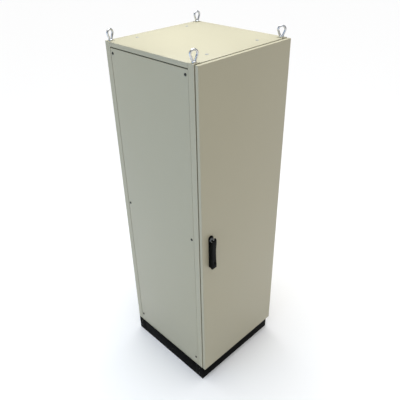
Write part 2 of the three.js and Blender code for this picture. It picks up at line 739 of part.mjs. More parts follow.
const PLATE_BACK = DOOR_FRONT - GAP;
const PLATE_TOP = PLATE_BACK - HANDLE_PLATE; // outer face of the handle's plate
const HEAD = [PLATE_TOP - GAP - 5, PLATE_TOP - GAP]; // round head of the shaft
const LEVER_PIN_Y = HEAD[0] - 7.9;
const LEVER_INNER = PLATE_TOP - 1.5;
const LEVER_OUTER = LEVER_INNER - 18.2;
const LEVER_GRIP = 3; // the grip stands out from the lever's face

function handlePlate() {
  const r = HANDLE_WIDTH / 2;
  const low = HANDLE_Z - HANDLE_LENGTH / 2;
  const high = HANDLE_Z + HANDLE_LENGTH / 2;
  const outline = new THREE.Shape();
  outline.absarc(low + r, HUB_X, r, Math.PI / 2, (3 * Math.PI) / 2);
  outline.absarc(high - r, HUB_X, r, -Math.PI / 2, Math.PI / 2);
  const plate = prism("y", outline, PLATE_TOP, PLATE_BACK);
  const bore = SHAFT_R + SHAFT_CLEARANCE;
  return cut(plate, rod("y", [HUB_X, 0, HUB_Z], bore, PLATE_TOP - 1, PLATE_BACK + 1));
}

const PINION_Y = [-Y + 1, -Y + 1 + ROD_THICKNESS];
const CHANNEL_Y = [PINION_Y[0] - 1.5, PINION_Y[1] + 1.5];
const HOUSING_BACK = CHANNEL_Y[1] + 2.5;

function handleShaft() {
  const at = [HUB_X, 0, HUB_Z];
  const shaft = rod("y", at, SHAFT_R, HEAD[0] + 1, CHANNEL_Y[0]);
  const spigot = rod("y", at, SPIGOT_R, CHANNEL_Y[0] - 1, HOUSING_BACK - 0.5);
  const head = rod("y", at, 12, ...HEAD);
  const tab = box([HUB_X - 6, HUB_X + 6], [LEVER_PIN_Y, HEAD[0] + 1], [HUB_Z - 6, HUB_Z + 6]);
  const round = rod("x", [0, LEVER_PIN_Y, HUB_Z], 6, HUB_X - 6, HUB_X + 6);
  const bore = LEVER_PIN_R + PIN_CLEARANCE;
  const hole = rod("x", [0, LEVER_PIN_Y, HUB_Z], bore, HUB_X - 7, HUB_X + 7);
  return cut(join(shaft, spigot, head, tab, round), hole);
}

const LEVER_END = HANDLE_Z - HANDLE_LENGTH / 2 + 3;
const CYLINDER_Z = LEVER_END + 42;

// The lever hangs from its pin, thin at the top and thickest at the grip near its lower end.
function swingLever() {
  const y = (value) => LEVER_PIN_Y + value;
  const z = (value) => HUB_Z - value;
  const outline = [
    [y(7), z(17)],
    [y(7), z(-2)],
    [y(3), z(-7.5)],
    [y(0), z(-12)],
    [y(-6), z(-10.4)],
    [y(-9), z(-5)],
    [y(-9.5), z(0)],
    [y(-9), z(24)],
    [LEVER_OUTER + 1, z(60)],
    [LEVER_OUTER, LEVER_END + 58],
    [LEVER_OUTER - LEVER_GRIP, LEVER_END + 18],
    [LEVER_OUTER - 2, LEVER_END + 6],
    [LEVER_OUTER + 3, LEVER_END],
    [LEVER_INNER - 6, LEVER_END + 1],
    [LEVER_INNER, LEVER_END + 9],
    [LEVER_INNER, z(21)],
  ];
  const half = LEVER_WIDTH / 2;
  const body = prism("x", outline, HUB_X - half, HUB_X + half);
  const fork = box([HUB_X - 6.4, HUB_X + 6.4], [y(-6.5), y(30)], [z(12), z(-20)]);
  const pinR = LEVER_PIN_R + PIN_CLEARANCE;
  const hole = rod("x", [0, LEVER_PIN_Y, HUB_Z], pinR, HUB_X - 20, HUB_X + 20);
  const bore = rod("y", [HUB_X, 0, CYLINDER_Z], CYLINDER_R + GAP, LEVER_OUTER - 9, LEVER_INNER + 9);
  return cut(body, fork, hole, bore);
}

function lockCylinder() {
  const front = LEVER_OUTER;
  const plug = rod("y", [HUB_X, 0, CYLINDER_Z], CYLINDER_R, front, LEVER_INNER - 0.5);
  const slot = box([HUB_X - 1, HUB_X + 1], [front - 1, front + 5], [
    CYLINDER_Z - 4.5,
    CYLINDER_Z + 4.5,
  ]);
  return cut(plug, slot);
}

const LEVER_PIN_HALF = LEVER_WIDTH / 2 - 0.5;
const leverPin = rod(
  "x",
  [0, LEVER_PIN_Y, HUB_Z],
  LEVER_PIN_R,
  HUB_X - LEVER_PIN_HALF,
  HUB_X + LEVER_PIN_HALF,
);

add("handle_plate", handlePlate(), blackPlastic);
add("handle_shaft", handleShaft(), dieCast);
add("lever_pin", leverPin, zinc);
add("swing_lever", swingLever(), blackPlastic);
add("lock_cylinder", lockCylinder(), zinc);

// ---------- Rod lock ----------

const TOOTH_RELIEF = 0.1; // tooth tips, short of the full addendum
const FLANK = Math.tan((20 * Math.PI) / 180); // slope of a rack tooth's flank
const RACK_TEETH = 12;

// Straight-flanked teeth, thinned by the backlash. A tooth stands on the +x side of the axis. Each
// flank point is a radius and a share of the tooth's half thickness at the pitch circle.
function pinion() {
  const outline = [];
  const half = (TOOTH_PITCH - GEAR_BACKLASH) / 4 / PITCH_R;
  const tip = PITCH_R + GEAR_MODULE - TOOTH_RELIEF;
  const root = PITCH_R - DEDENDUM;
  for (let i = 0; i < PINION_TEETH; i++) {
    const middle = (i * 2 * Math.PI) / PINION_TEETH;
    const flank = [
      [root, -1.55],
      [PITCH_R, -1],
      [tip, -0.45],
      [tip, 0.45],
      [PITCH_R, 1],
      [root, 1.55],
    ];
    for (const [r, share] of flank) {
      const angle = middle + share * half;
      outline.push([HUB_Z + r * Math.sin(angle), HUB_X + r * Math.cos(angle)]);
    }
  }
  const wheel = prism("y", outline.reverse(), ...PINION_Y);
  const bore = rod("y", [HUB_X, 0, HUB_Z], SPIGOT_R + GAP, PINION_Y[0] - 1, PINION_Y[1] + 1);
  return cut(wheel, bore);
}

// A flat rod on one side of the pinion, with rack teeth where they meet. On the -x side, an odd
// number of pinion teeth puts a gap on the centre line, so the rack has a tooth there.
function lockRod(sign, from, to) {
  const at = (value) => HUB_X + sign * value;
  const outline = [
    [from, at(ROD_OUTER)],
    [from, at(ROD_FACE)],
  ];
  const first = sign > 0 ? 0.5 : 0;
  const half = (TOOTH_PITCH - GEAR_BACKLASH) / 4;
  const foot = half + FLANK * DEDENDUM;
  const crown = half - FLANK * GEAR_MODULE;
  const tip = PITCH_R - GEAR_MODULE + TOOTH_RELIEF;
  for (let i = -RACK_TEETH / 2; i < RACK_TEETH / 2; i++) {
    const z = HUB_Z + (i + first) * TOOTH_PITCH;
    if (z - TOOTH_PITCH < from || z + TOOTH_PITCH > to) continue;
    outline.push([z - foot, at(ROD_FACE)], [z - crown, at(tip)]);
    outline.push([z + crown, at(tip)], [z + foot, at(ROD_FACE)]);
  }
  outline.push([to, at(ROD_FACE)], [to, at(ROD_OUTER)]);
  if (sign > 0) outline.reverse();
  return prism("y", outline, ...PINION_Y);
}

function gearHousing() {
  const at = [HUB_X, 0, HUB_Z];
  const tall = HOUSING_HALF_HEIGHT;
  const slab = (half, depth, height) => box([HUB_X - half, HUB_X + half], depth, height);
  const block = slab(HOUSING_HALF, [DOOR_INNER + GAP, HOUSING_BACK], [HUB_Z - tall, HUB_Z + tall]);
  const channel = slab(CHANNEL_HALF, CHANNEL_Y, [HUB_Z - tall - 1, HUB_Z + tall + 1]);
  const bore = rod("y", at, SHAFT_R + BEARING_GAP, DOOR_INNER, CHANNEL_Y[0] + 1);
  const end = rod("y", at, SPIGOT_R + BEARING_GAP, CHANNEL_Y[0], HOUSING_BACK + 1);
  return cut(block, channel, bore, end);
}

function rodGuide(sign, z) {
  const slab = (reach, depth, half) =>
    box(
      side(sign, ROD_FACE - reach, ROD_OUTER + reach).map((value) => HUB_X + value),
      depth,
      [z - half, z + half],
    );
  const block = slab(ROD_SIDE_GAP + HOUSING_WALL, [DOOR_INNER + GAP, HOUSING_BACK], 10);
  const slot = slab(ROD_PLAY, [PINION_Y[0] - ROD_PLAY, PINION_Y[1] + ROD_PLAY], 11);
  return cut(block, slot);
}

add("gear_housing", gearHousing(), dieCast);
add("lock_pinion", pinion(), zinc);
add("upper_lock_rod", lockRod(-1, HUB_Z - ROD_OVERLAP, KEEPER_HIGH - ROD_TIP_GAP), zinc);
add("lower_lock_rod", lockRod(1, KEEPER_LOW + ROD_TIP_GAP, HUB_Z + ROD_OVERLAP), zinc);
add("rod_guide_upper", rodGuide(-1, KEEPER_HIGH - GUIDE_OFFSET), zinc);
add("rod_guide_lower", rodGuide(1, KEEPER_LOW + GUIDE_OFFSET), zinc);

// ---------- Mounting plate ----------

function mountingPlate() {
  const height = [PLATE_LOW, PLATE_HIGH];
  const back = PLATE_FACE + PLATE_SHEET;
  const sheet = box([-PLATE_HALF, PLATE_HALF], [PLATE_FACE, back], height);
  const folds = [-1, 1].map((s) =>
    box(side(s, PLATE_HALF - PLATE_SHEET, PLATE_HALF), [PLATE_FACE, back + PLATE_FOLD], height),
  );
  return join(sheet, ...folds);
}

add("mounting_plate", mountingPlate(), galvanised);

// ---------- Fuse switches ----------

const LID_LOW = SWITCH_LOW + LID_INSET;
const LID_HIGH = SWITCH_TOP - LID_INSET;
const LID_AXIS = { y: SWITCH_FRONT - GAP - LID_HINGE_R, z: LID_LOW + LID_HINGE_R };

function fuseSwitchBase(x) {
  const half = SWITCH_WIDTH / 2;
  const body = box([x - half, x + half], [SWITCH_FRONT, SEAT], [SWITCH_LOW, SWITCH_TOP]);
  const wells = [-1, 1].map((s) => {
    const middle = x + s * POLE_OFFSET;
    return box(
      [middle - WELL_HALF_WIDTH, middle + WELL_HALF_WIDTH],
      [SWITCH_FRONT - 1, SWITCH_FRONT + WELL_DEPTH],
      [SWITCH_LOW + WELL_INSET, SWITCH_TOP - WELL_INSET],
    );
  });
  return cut(body, ...wells);
}

// The lid turns on its lower rear edge, which is rounded about the axis.
function fuseSwitchLid(x) {
  const half = SWITCH_WIDTH / 2 - 2;
  const r = LID_HINGE_R;
  const back = LID_AXIS.y + r;
  const grip = back - LID_DEPTH - LID_GRIP;
  const front = back - LID_DEPTH;
  const outline = [[back, LID_HIGH]];
  outline.push([back, LID_AXIS.z]);
  for (const turn of [0.25, 0.5, 0.75, 1]) {
    const angle = (turn * Math.PI) / 2;
    outline.push([LID_AXIS.y + r * Math.cos(angle), LID_AXIS.z - r * Math.sin(angle)]);
  }
  outline.push([front + 4, LID_LOW], [front, LID_LOW + 6], [front, LID_HIGH - 40]);
  outline.push([grip, LID_HIGH - 34], [grip, LID_HIGH - 18], [front, LID_HIGH - 12]);
  outline.push([front + 4, LID_HIGH]);
  return prism("x", outline.reverse(), x - half, x + half);
}

for (let i = 0; i < SWITCH_COUNT; i++) {
  add(`fuse_switch_base_${i + 1}`, fuseSwitchBase(switchX(i)), greyPlastic);
  add(`fuse_switch_lid_${i + 1}`, fuseSwitchLid(switchX(i)), darkPlastic);
}

// ---------- Copper combs ----------

const COMB_END = switchX(SWITCH_COUNT - 1) + SWITCH_WIDTH / 2 + BAR_END;

// A bar with one tab down to each fuse switch and one riser to the main switch.
function comb(pole, y, low) {
  const depth = [y, y + BAR_THICKNESS];
  const parts = [box([-COMB_END, COMB_END], depth, [low, low + BAR_HEIGHT])];
  for (let i = 0; i < SWITCH_COUNT; i++) {
    const x = switchX(i) + pole * POLE_OFFSET;
    parts.push(box([x - TAB_WIDTH / 2, x + TAB_WIDTH / 2], depth, [SWITCH_TOP + GAP, low + 1]));
  }
  const riser = side(pole, OUTPUT_OFFSET - RISER_HALF, OUTPUT_OFFSET + RISER_HALF);
  parts.push(box(riser, depth, [low, MAIN_LOW - GAP]));
  return join(...parts);
}

const FRONT_BAR_Y = SWITCH_FRONT + BAR_RECESS;
add("busbar_positive", comb(-1, FRONT_BAR_Y + POLE_DEPTH, REAR_BAR_Z), copper);
add("busbar_negative", comb(1, FRONT_BAR_Y, FRONT_BAR_Z), copper);

// A clear cover in front of the combs, on four legs between the tabs and the risers.
function guard() {
  const face = SWITCH_FRONT - GUARD_STAND;
  const low = SWITCH_TOP + 18;
  const high = MAIN_LOW - 12;
  const half = COMB_END + GUARD_END;
  const leg = switchX(SWITCH_COUNT - 1) - POLE_OFFSET - TAB_WIDTH / 2 - GUARD_LEG_SPACE;
  const sheet = box([-half, half], [face, face + GUARD_SHEET], [low, high]);
  const legs = [];
  for (const x of [-leg, leg]) {
    for (const z of [low + 8, high - 8]) {
      legs.push(rod("y", [x, 0, z], 5, face + 1, SEAT, 12));
    }
  }
  return join(sheet, ...legs);
}

add("busbar_guard", guard(), clear);

// ---------- Main switch ----------

const MAIN_FRONT = SEAT - MAIN_DEPTH;
const MAIN_MIDDLE = MAIN_LOW + MAIN_HEIGHT / 2;

function mainSwitch() {
  const half = MAIN_WIDTH / 2;
  const high = MAIN_LOW + MAIN_HEIGHT;
  const shelf = MAIN_FRONT + MAIN_STEP;
  const outline = [
    [SEAT, MAIN_LOW],
    [SEAT, high],
    [shelf, high],
    [shelf, high - 45],
    [MAIN_FRONT, high - 50],
    [MAIN_FRONT, MAIN_LOW + 50],
    [shelf, MAIN_LOW + 45],
    [shelf, MAIN_LOW],
  ];
  return prism("x", outline.reverse(), -half, half);
}

function mainKnob() {
  const at = [0, 0, MAIN_MIDDLE];
  const face = MAIN_FRONT - GAP;
  const tip = KNOB_R - 2;
  const dial = rod("y", at, KNOB_R, face - 12, face, 32);
  const grip = box([-9, 9], [face - 38, face - 11], [MAIN_MIDDLE - tip, MAIN_MIDDLE + tip]);
  return join(dial, grip);
}

add("main_switch_body", mainSwitch(), darkPlastic);
add("main_switch_knob", mainKnob(), redPlastic);

// ---------- Mounting rail, surge arrester and earth bar ----------

const TOP_HAT = { depth: 7.5, half: 17.5, crown: 12.5, sheet: 1 };

// A 35 mm top-hat rail with its crown on the plate.
function mountingRail() {
  const { depth, half, crown, sheet } = TOP_HAT;
  const face = SEAT - depth;
  const outline = [
    [face, -half],
    [face + sheet, -half],
    [face + sheet, -crown],
    [SEAT, -crown],
    [SEAT, crown],
    [face + sheet, crown],
    [face + sheet, half],
    [face, half],
    [face, crown - sheet],
    [SEAT - sheet, crown - sheet],
    [SEAT - sheet, sheet - crown],
    [face, sheet - crown],
  ].map(([y, z]) => [y, RAIL_Z + z]);
  return prism("x", outline, -PLATE_HALF + RAIL_END, PLATE_HALF - RAIL_END);
}

const SURGE = { depth: 44, floor: 22, half: 45, bay: 24 };
const SURGE_X = -PLATE_HALF + SURGE_INSET;
const SURGE_BACK = SEAT - TOP_HAT.depth - GAP;

// A base with a bay for the cartridges between its two terminal blocks.
function surgeBase() {
  const { depth, floor, half, bay } = SURGE;
  const outline = [
    [0, -half],
    [0, half],
    [depth, half],
    [depth, bay],
    [floor, bay],
    [floor, -bay],
    [depth, -bay],
    [depth, -half],
  ].map(([y, z]) => [SURGE_BACK - y, RAIL_Z + z]);
  return prism("x", outline.reverse(), SURGE_X, SURGE_X + CARTRIDGES * MODULE);
}

function surgeCartridge(i) {
  const x = SURGE_X + i * MODULE;
  const half = SURGE.bay - 0.5;
  return box([x + 0.4, x + MODULE - 0.4], [SURGE_BACK - 62, SURGE_BACK - SURGE.floor - GAP], [
    RAIL_Z - half,
    RAIL_Z + half,
  ]);
}

add("mounting_rail", mountingRail(), galvanised);
add("surge_base", surgeBase(), greyPlastic);
for (let i = 0; i < CARTRIDGES; i++) {
  add(`surge_cartridge_${i + 1}`, surgeCartridge(i), redPlastic);
}

function earthBar() {
  const z = PLATE_LOW + EARTH_RISE;
  const half = PLATE_HALF - EARTH_END;
  const back = PLATE_FACE - 22;
  const bar = box([-half, half], [back - BAR_THICKNESS, back], [
    z - BAR_HEIGHT / 2,
    z + BAR_HEIGHT / 2,
  ]);
  const feet = [15 - half, half - 15].map((x) => rod("y", [x, 0, z], 9, back - 1, SEAT, 16));
  return join(bar, ...feet);
}

add("earth_bar", earthBar(), copper);

// The origin is under the middle of the whole cabinet, the handle included.
group.position.y = (LEVER_GRIP - LEVER_OUTER - Y) / 2;

export default group;
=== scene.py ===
"""A free-standing DC combiner cabinet, dressed for close viewing.

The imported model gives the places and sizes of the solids. This script rounds and finishes their sheet
metal, and adds the screws, ducts, fuse links and other small pieces that the solids leave out. Units
are metres.
"""

import json
import logging
import math
from collections.abc import Callable, Sequence
from dataclasses import dataclass, field
from enum import Enum

import bpy
from mathutils import Matrix, Vector


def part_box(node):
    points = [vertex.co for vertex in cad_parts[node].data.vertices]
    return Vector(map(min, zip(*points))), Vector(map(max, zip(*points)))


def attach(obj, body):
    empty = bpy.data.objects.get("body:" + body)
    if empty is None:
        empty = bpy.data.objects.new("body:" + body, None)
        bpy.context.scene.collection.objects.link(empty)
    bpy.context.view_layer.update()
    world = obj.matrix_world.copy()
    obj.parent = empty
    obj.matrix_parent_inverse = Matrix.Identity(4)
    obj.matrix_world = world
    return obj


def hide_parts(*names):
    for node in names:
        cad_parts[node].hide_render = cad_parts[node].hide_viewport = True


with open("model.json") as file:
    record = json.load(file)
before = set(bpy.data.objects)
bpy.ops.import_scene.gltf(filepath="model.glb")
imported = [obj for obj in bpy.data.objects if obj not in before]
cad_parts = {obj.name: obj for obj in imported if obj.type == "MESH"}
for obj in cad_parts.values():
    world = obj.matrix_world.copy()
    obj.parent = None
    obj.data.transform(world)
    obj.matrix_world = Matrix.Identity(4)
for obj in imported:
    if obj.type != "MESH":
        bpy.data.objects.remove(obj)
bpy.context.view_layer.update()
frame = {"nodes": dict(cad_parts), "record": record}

MM = 0.001
NEAR = 0.00005  # points this close are in the same plane
DOUBLES = 1e-6  # points this close in a new mesh are one
NODE_DOUBLES = 1e-5  # and in a node's loose triangles
FLAT = math.radians(1.0)  # faces that meet at less are one flat face
SHARP = math.radians(35)  # edges that turn by more are rounded
BLUNT = 50.0  # degrees of turn that a folded sheet's shading stays smooth over
LOOKS = 0.9  # a face looks along an axis when its normal goes this far along it
CLEAR = 1.0 * MM  # how far a cutting tool stands out of what it cuts

log = logging.getLogger("cabinet")

Span = tuple[float, float]
Point = tuple[float, float, float]
Piece = bpy.types.Object
Tree = bpy.types.NodeTree
Shader = bpy.types.ShaderNode
Socket = bpy.types.NodeSocket
Test = Callable[[Vector, Vector], bool]
Step = Callable[[], object]


class Side(Enum):
    """The faces of the cabinet, by the direction that they look in."""

    LEFT = (-1.0, 0.0, 0.0)
    RIGHT = (1.0, 0.0, 0.0)
    FRONT = (0.0, -1.0, 0.0)
    REAR = (0.0, 1.0, 0.0)
    TOP = (0.0, 0.0, 1.0)

    @property
    def normal(self) -> Vector:
        """The outward direction."""
        return Vector(self.value)

    @property
    def turn(self) -> Matrix:
        """The rotation that carries +Z to the outward direction."""
        return Vector((0, 0, 1)).rotation_difference(self.normal).to_matrix().to_4x4()


class Edge(Enum):
    """How a piece's edges are broken: the radius, and how finely it is divided."""

    FAINT = (0.2 * MM, 1)
    FINGER = (0.3 * MM, 1)
    FINE = (0.3 * MM, 2)
    SLIGHT = (0.4 * MM, 2)
    PLAIN = (0.5 * MM, 2)
    FOLDED = (0.56 * MM, 2)
    EASED = (0.6 * MM, 2)
    FORGED = (0.7 * MM, 2)
    MOULDED = (0.8 * MM, 2)
    ROUNDED = (2.5 * MM, 4)


# ---------- Finishes ----------


PATCH_LOW, PATCH_HIGH = 0.3, 0.7  # where the soft patches start and end in their noise
PATCH_DETAIL, GRAIN_DETAIL = 4.0, 2.0
COAT_ROUGHNESS = 0.15
BRUSH_STRETCH = (1.0, 1.0, 0.03)


class Grain(Enum):
    """How a surface's fine relief is made."""

    FINE = "fine"
    SPANGLE = "spangle"
    BRUSHED = "brushed"
    PORES = "pores"


@dataclass(frozen=True)
class Finish:
    """A surface finish, with its colour, gloss and relief.

    The second colour is what the first drifts to in soft patches. Sizes of the grain are per metre.
    """

    name: str
    color: Point
    drift: Point
    roughness: float
    metallic: float = 0.0
    grain: Grain = Grain.FINE
    grain_scale: float = 900.0
    grain_depth: float = 0.0001
    relief: float = 0.15
    patch_scale: float = 3.0
    gloss_swing: float = 0.06
    coat: float = 0.0
    alpha: float = 1.0
    specular: float = 0.5

    def build(self) -> bpy.types.Material:
        """Makes the node material.

        Returns:
            The material, ready to be put on a piece.
        """
        material = bpy.data.materials.new(self.name)
        material.use_nodes = True
        tree = material.node_tree
        tree.nodes.clear()
        output = tree.nodes.new("ShaderNodeOutputMaterial")
        shader = tree.nodes.new("ShaderNodeBsdfPrincipled")
        tree.links.new(shader.outputs["BSDF"], output.inputs["Surface"])
        shader.inputs["Metallic"].default_value = self.metallic
        shader.inputs["Coat Weight"].default_value = self.coat
        shader.inputs["Coat Roughness"].default_value = COAT_ROUGHNESS
        shader.inputs["Alpha"].default_value = self.alpha
        shader.inputs["Specular IOR Level"].default_value = self.specular
        place = tree.nodes.new("ShaderNodeTexCoord").outputs["Object"]
        patches = self._noise(tree, place, self.patch_scale, PATCH_DETAIL)
        self._color(tree, shader, patches)
        self._gloss(tree, shader, patches)
        self._relief(tree, shader, place)
        return material

    def _noise(self, tree: Tree, place: Socket, scale: float, detail: float) -> Socket:
        """Adds a noise field over the object's own coordinates.

        Args:
            tree: The material's node tree.
            place: The coordinates to read.
            scale: Features per metre.
            detail: Octaves of detail.

        Returns:
            The field's value.
        """
        noise = tree.nodes.new("ShaderNodeTexNoise")
        noise.inputs["Scale"].default_value = scale
        noise.inputs["Detail"].default_value = detail
        tree.links.new(place, noise.inputs["Vector"])
        return noise.outputs["Fac"]

    def _color(self, tree: Tree, shader: Shader, patches: Socket) -> None:
        """Lets the colour drift between its two values.

        Args:
            tree: The material's node tree.
            shader: The surface shader.
            patches: The field that the colour follows.
        """
        ramp = tree.nodes.new("ShaderNodeValToRGB")
        ramp.color_ramp.elements[0].position = PATCH_LOW
        ramp.color_ramp.elements[1].position = PATCH_HIGH
        ramp.color_ramp.elements[0].color = (*self.color, 1.0)
        ramp.color_ramp.elements[1].color = (*self.drift, 1.0)
        tree.links.new(patches, ramp.inputs["Fac"])
        tree.links.new(ramp.outputs["Color"], shader.inputs["Base Color"])

    def _gloss(self, tree: Tree, shader: Shader, patches: Socket) -> None:
        """Lets the roughness swing a little about its middle.

        Args:
            tree: The material's node tree.
            shader: The surface shader.
            patches: The field that the gloss follows.
        """
        swing = tree.nodes.new("ShaderNodeMapRange")
        swing.inputs["From Min"].default_value = PATCH_LOW
        swing.inputs["From Max"].default_value = PATCH_HIGH
        swing.inputs["To Min"].default_value = self.roughness - self.gloss_swing
        swing.inputs["To Max"].default_value = self.roughness + self.gloss_swing
        tree.links.new(patches, swing.inputs["Value"])
        tree.links.new(swing.outputs["Result"], shader.inputs["Roughness"])

    def _relief(self, tree: Tree, shader: Shader, place: Socket) -> None:
        """Adds the fine grain as bump.

        Args:
            tree: The material's node tree.
            shader: The surface shader.
            place: The coordinates to read.
        """
        bump = tree.nodes.new("ShaderNodeBump")
        bump.inputs["Strength"].default_value = self.relief
        bump.inputs["Distance"].default_value = self.grain_depth
        if self.grain in (Grain.SPANGLE, Grain.PORES):
            cells = tree.nodes.new("ShaderNodeTexVoronoi")
            cells.inputs["Scale"].default_value = self.grain_scale
            tree.links.new(place, cells.inputs["Vector"])
            shade = "Color" if self.grain is Grain.SPANGLE else "Distance"
            height = cells.outputs[shade]
        elif self.grain is Grain.BRUSHED:
            stretch = tree.nodes.new("ShaderNodeMapping")
            stretch.inputs["Scale"].default_value = BRUSH_STRETCH
            tree.links.new(place, stretch.inputs["Vector"])
            height = self._noise(tree, stretch.outputs["Vector"], self.grain_scale, GRAIN_DETAIL)
        else:
            height = self._noise(tree, place, self.grain_scale, GRAIN_DETAIL)
        tree.links.new(height, bump.inputs["Height"])
        tree.links.new(bump.outputs["Normal"], shader.inputs["Normal"])


LIGHT_GREY = Finish(
    "light_grey_powder_coat",
    color=(0.388, 0.362, 0.258),
    drift=(0.404, 0.378, 0.272),
    roughness=0.46,
    grain_scale=1100.0,
    grain_depth=0.00008,
    relief=0.22,
    coat=0.12,
)
PLINTH_BLACK = Finish(
    "black_powder_coat",
    color=(0.0035, 0.0035, 0.0035),
    drift=(0.0060, 0.0060, 0.0055),
    roughness=0.5,
    grain_scale=1200.0,
    relief=0.25,
    patch_scale=8.0,
    specular=0.015,
)
BRIGHT_ZINC = Finish(
    "bright_zinc_plate",
    color=(0.60, 0.61, 0.63),
    drift=(0.52, 0.54, 0.57),
    roughness=0.27,
    metallic=1.0,
    grain=Grain.BRUSHED,
    grain_scale=700.0,
    grain_depth=0.00005,
    patch_scale=40.0,
)
DARK_SCREW = Finish(
    "blackened_steel",
    color=(0.045, 0.043, 0.040),
    drift=(0.075, 0.072, 0.066),
    roughness=0.38,
    metallic=0.85,
    grain_scale=1800.0,
    grain_depth=0.00004,
    patch_scale=120.0,
)
GALVANISED = Finish(
    "galvanised_sheet",
    color=(0.42, 0.44, 0.46),
    drift=(0.54, 0.56, 0.57),
    roughness=0.42,
    metallic=0.9,
    grain=Grain.SPANGLE,
    grain_scale=110.0,
    grain_depth=0.00006,
    relief=0.25,
    patch_scale=55.0,
    gloss_swing=0.12,
)
DIE_CAST = Finish(
    "die_cast_zinc",
    color=(0.27, 0.28, 0.29),
    drift=(0.33, 0.34, 0.35),
    roughness=0.5,
    metallic=0.8,
    grain=Grain.PORES,
    grain_scale=900.0,
    patch_scale=30.0,
)
HANDLE_BLACK = Finish(
    "black_glass_filled_nylon",
    color=(0.0030, 0.0033, 0.0030),
    drift=(0.0052, 0.0055, 0.0050),
    roughness=0.36,
    grain=Grain.PORES,
    grain_scale=1500.0,
    grain_depth=0.00006,
    relief=0.3,
    patch_scale=25.0,
    specular=0.04,
)
SEAL_FOAM = Finish(
    "foamed_seal",
    color=(0.018, 0.018, 0.018),
    drift=(0.028, 0.027, 0.026),
    roughness=0.88,
    grain=Grain.PORES,
    grain_scale=1000.0,
    grain_depth=0.0003,
    relief=0.6,
    patch_scale=60.0,
)
DARK_MOULDING = Finish(
    "dark_moulding",
    color=(0.032, 0.034, 0.037),
    drift=(0.042, 0.044, 0.047),
    roughness=0.44,
    grain=Grain.PORES,
    grain_scale=1300.0,
    relief=0.3,
    patch_scale=18.0,
)
GREY_MOULDING = Finish(
    "grey_moulding",
    color=(0.33, 0.345, 0.34),
    drift=(0.37, 0.38, 0.375),
    roughness=0.46,
    grain=Grain.PORES,
    grain_scale=1300.0,
    relief=0.3,
    patch_scale=14.0,
)
DUCT_GREY = Finish(
    "duct_grey",
    color=(0.30, 0.31, 0.32),
    drift=(0.34, 0.35, 0.36),
    roughness=0.4,
    grain_scale=800.0,
    patch_scale=10.0,
)
RED_MOULDING = Finish(
    "red_moulding",
    color=(0.40, 0.018, 0.014),
    drift=(0.46, 0.028, 0.018),
    roughness=0.3,
    grain_scale=700.0,
    relief=0.12,
    patch_scale=22.0,
)
GREEN_WINDOW = Finish(
    "green_window",
    color=(0.03, 0.34, 0.08),
    drift=(0.04, 0.42, 0.10),
    roughness=0.2,
    grain_scale=600.0,
    relief=0.05,
    patch_scale=90.0,
)
ROLLED_COPPER = Finish(
    "rolled_copper",
    color=(0.70, 0.33, 0.18),
    drift=(0.56, 0.24, 0.13),
    roughness=0.3,
    metallic=1.0,
    grain=Grain.BRUSHED,
    grain_scale=500.0,
    grain_depth=0.00004,
    patch_scale=16.0,
    gloss_swing=0.1,
)
CERAMIC = Finish(
    "fuse_ceramic",
    color=(0.70, 0.68, 0.62),
    drift=(0.76, 0.74, 0.69),
    roughness=0.35,
    grain_scale=700.0,
    relief=0.1,
    patch_scale=30.0,
)
CLEAR_SHEET = Finish(
    "clear_polycarbonate",
    color=(0.86, 0.90, 0.91),
    drift=(0.90, 0.93, 0.94),
    roughness=0.08,
    grain_scale=60.0,
    relief=0.04,
    gloss_swing=0.02,
    alpha=0.16,
)

FINISH_OF_SLOT = {
    "cabinet_paint": LIGHT_GREY,
    "plinth_paint": PLINTH_BLACK,
    "zinc_steel": BRIGHT_ZINC,
    "galvanised_steel": GALVANISED,
    "die_cast": DIE_CAST,
    "black_handle": HANDLE_BLACK,
    "seal_foam": SEAL_FOAM,
    "gland_plastic": DARK_MOULDING,
    "grey_plastic": GREY_MOULDING,
    "dark_plastic": DARK_MOULDING,
    "red_plastic": RED_MOULDING,
    "copper": ROLLED_COPPER,
    "clear_guard": CLEAR_SHEET,
}


class Paints:
    """Keeps one material for each finish."""

    def __init__(self) -> None:
        """Starts with an empty shelf."""
        self._made: dict[str, bpy.types.Material] = {}

    def put(self, piece: Piece, finish: Finish) -> None:
        """Gives a piece one finish all over.

        Args:
            piece: The mesh to finish.
            finish: What it is finished with.
        """
        if finish.name not in self._made:
            self._made[finish.name] = finish.build()
        piece.data.materials.clear()
        piece.data.materials.append(self._made[finish.name])
        piece.data.polygons.foreach_set("material_index", [0] * len(piece.data.polygons))


PAINTS = Paints()

# ---------- The workbench ----------


def select_only(piece: Piece) -> None:
    """Makes one object the only selected and the active one.

    Args:
        piece: The object.
    """
    bpy.ops.object.select_all(action="DESELECT")
    piece.select_set(True)
    bpy.context.view_layer.objects.active = piece


def settle(piece: Piece) -> None:
    """Moves an object's place, turn and scale into its mesh."""
    select_only(piece)
    bpy.ops.object.transform_apply(location=True, rotation=True, scale=True)


def block(name: str, low: Sequence[float], high: Sequence[float]) -> Piece:
    """Adds a cube and sizes it to fill a box.

    Args:
        name: The piece's name.
        low: The box's lowest corner.
        high: The box's highest corner.

    Returns:
        The new piece.
    """
    bpy.ops.object.select_all(action="DESELECT")
    low, high = Vector(low), Vector(high)
    bpy.ops.mesh.primitive_cube_add(size=1, location=(low + high) / 2, scale=high - low)
    piece = bpy.context.object
    piece.name = name
    settle(piece)
    return piece


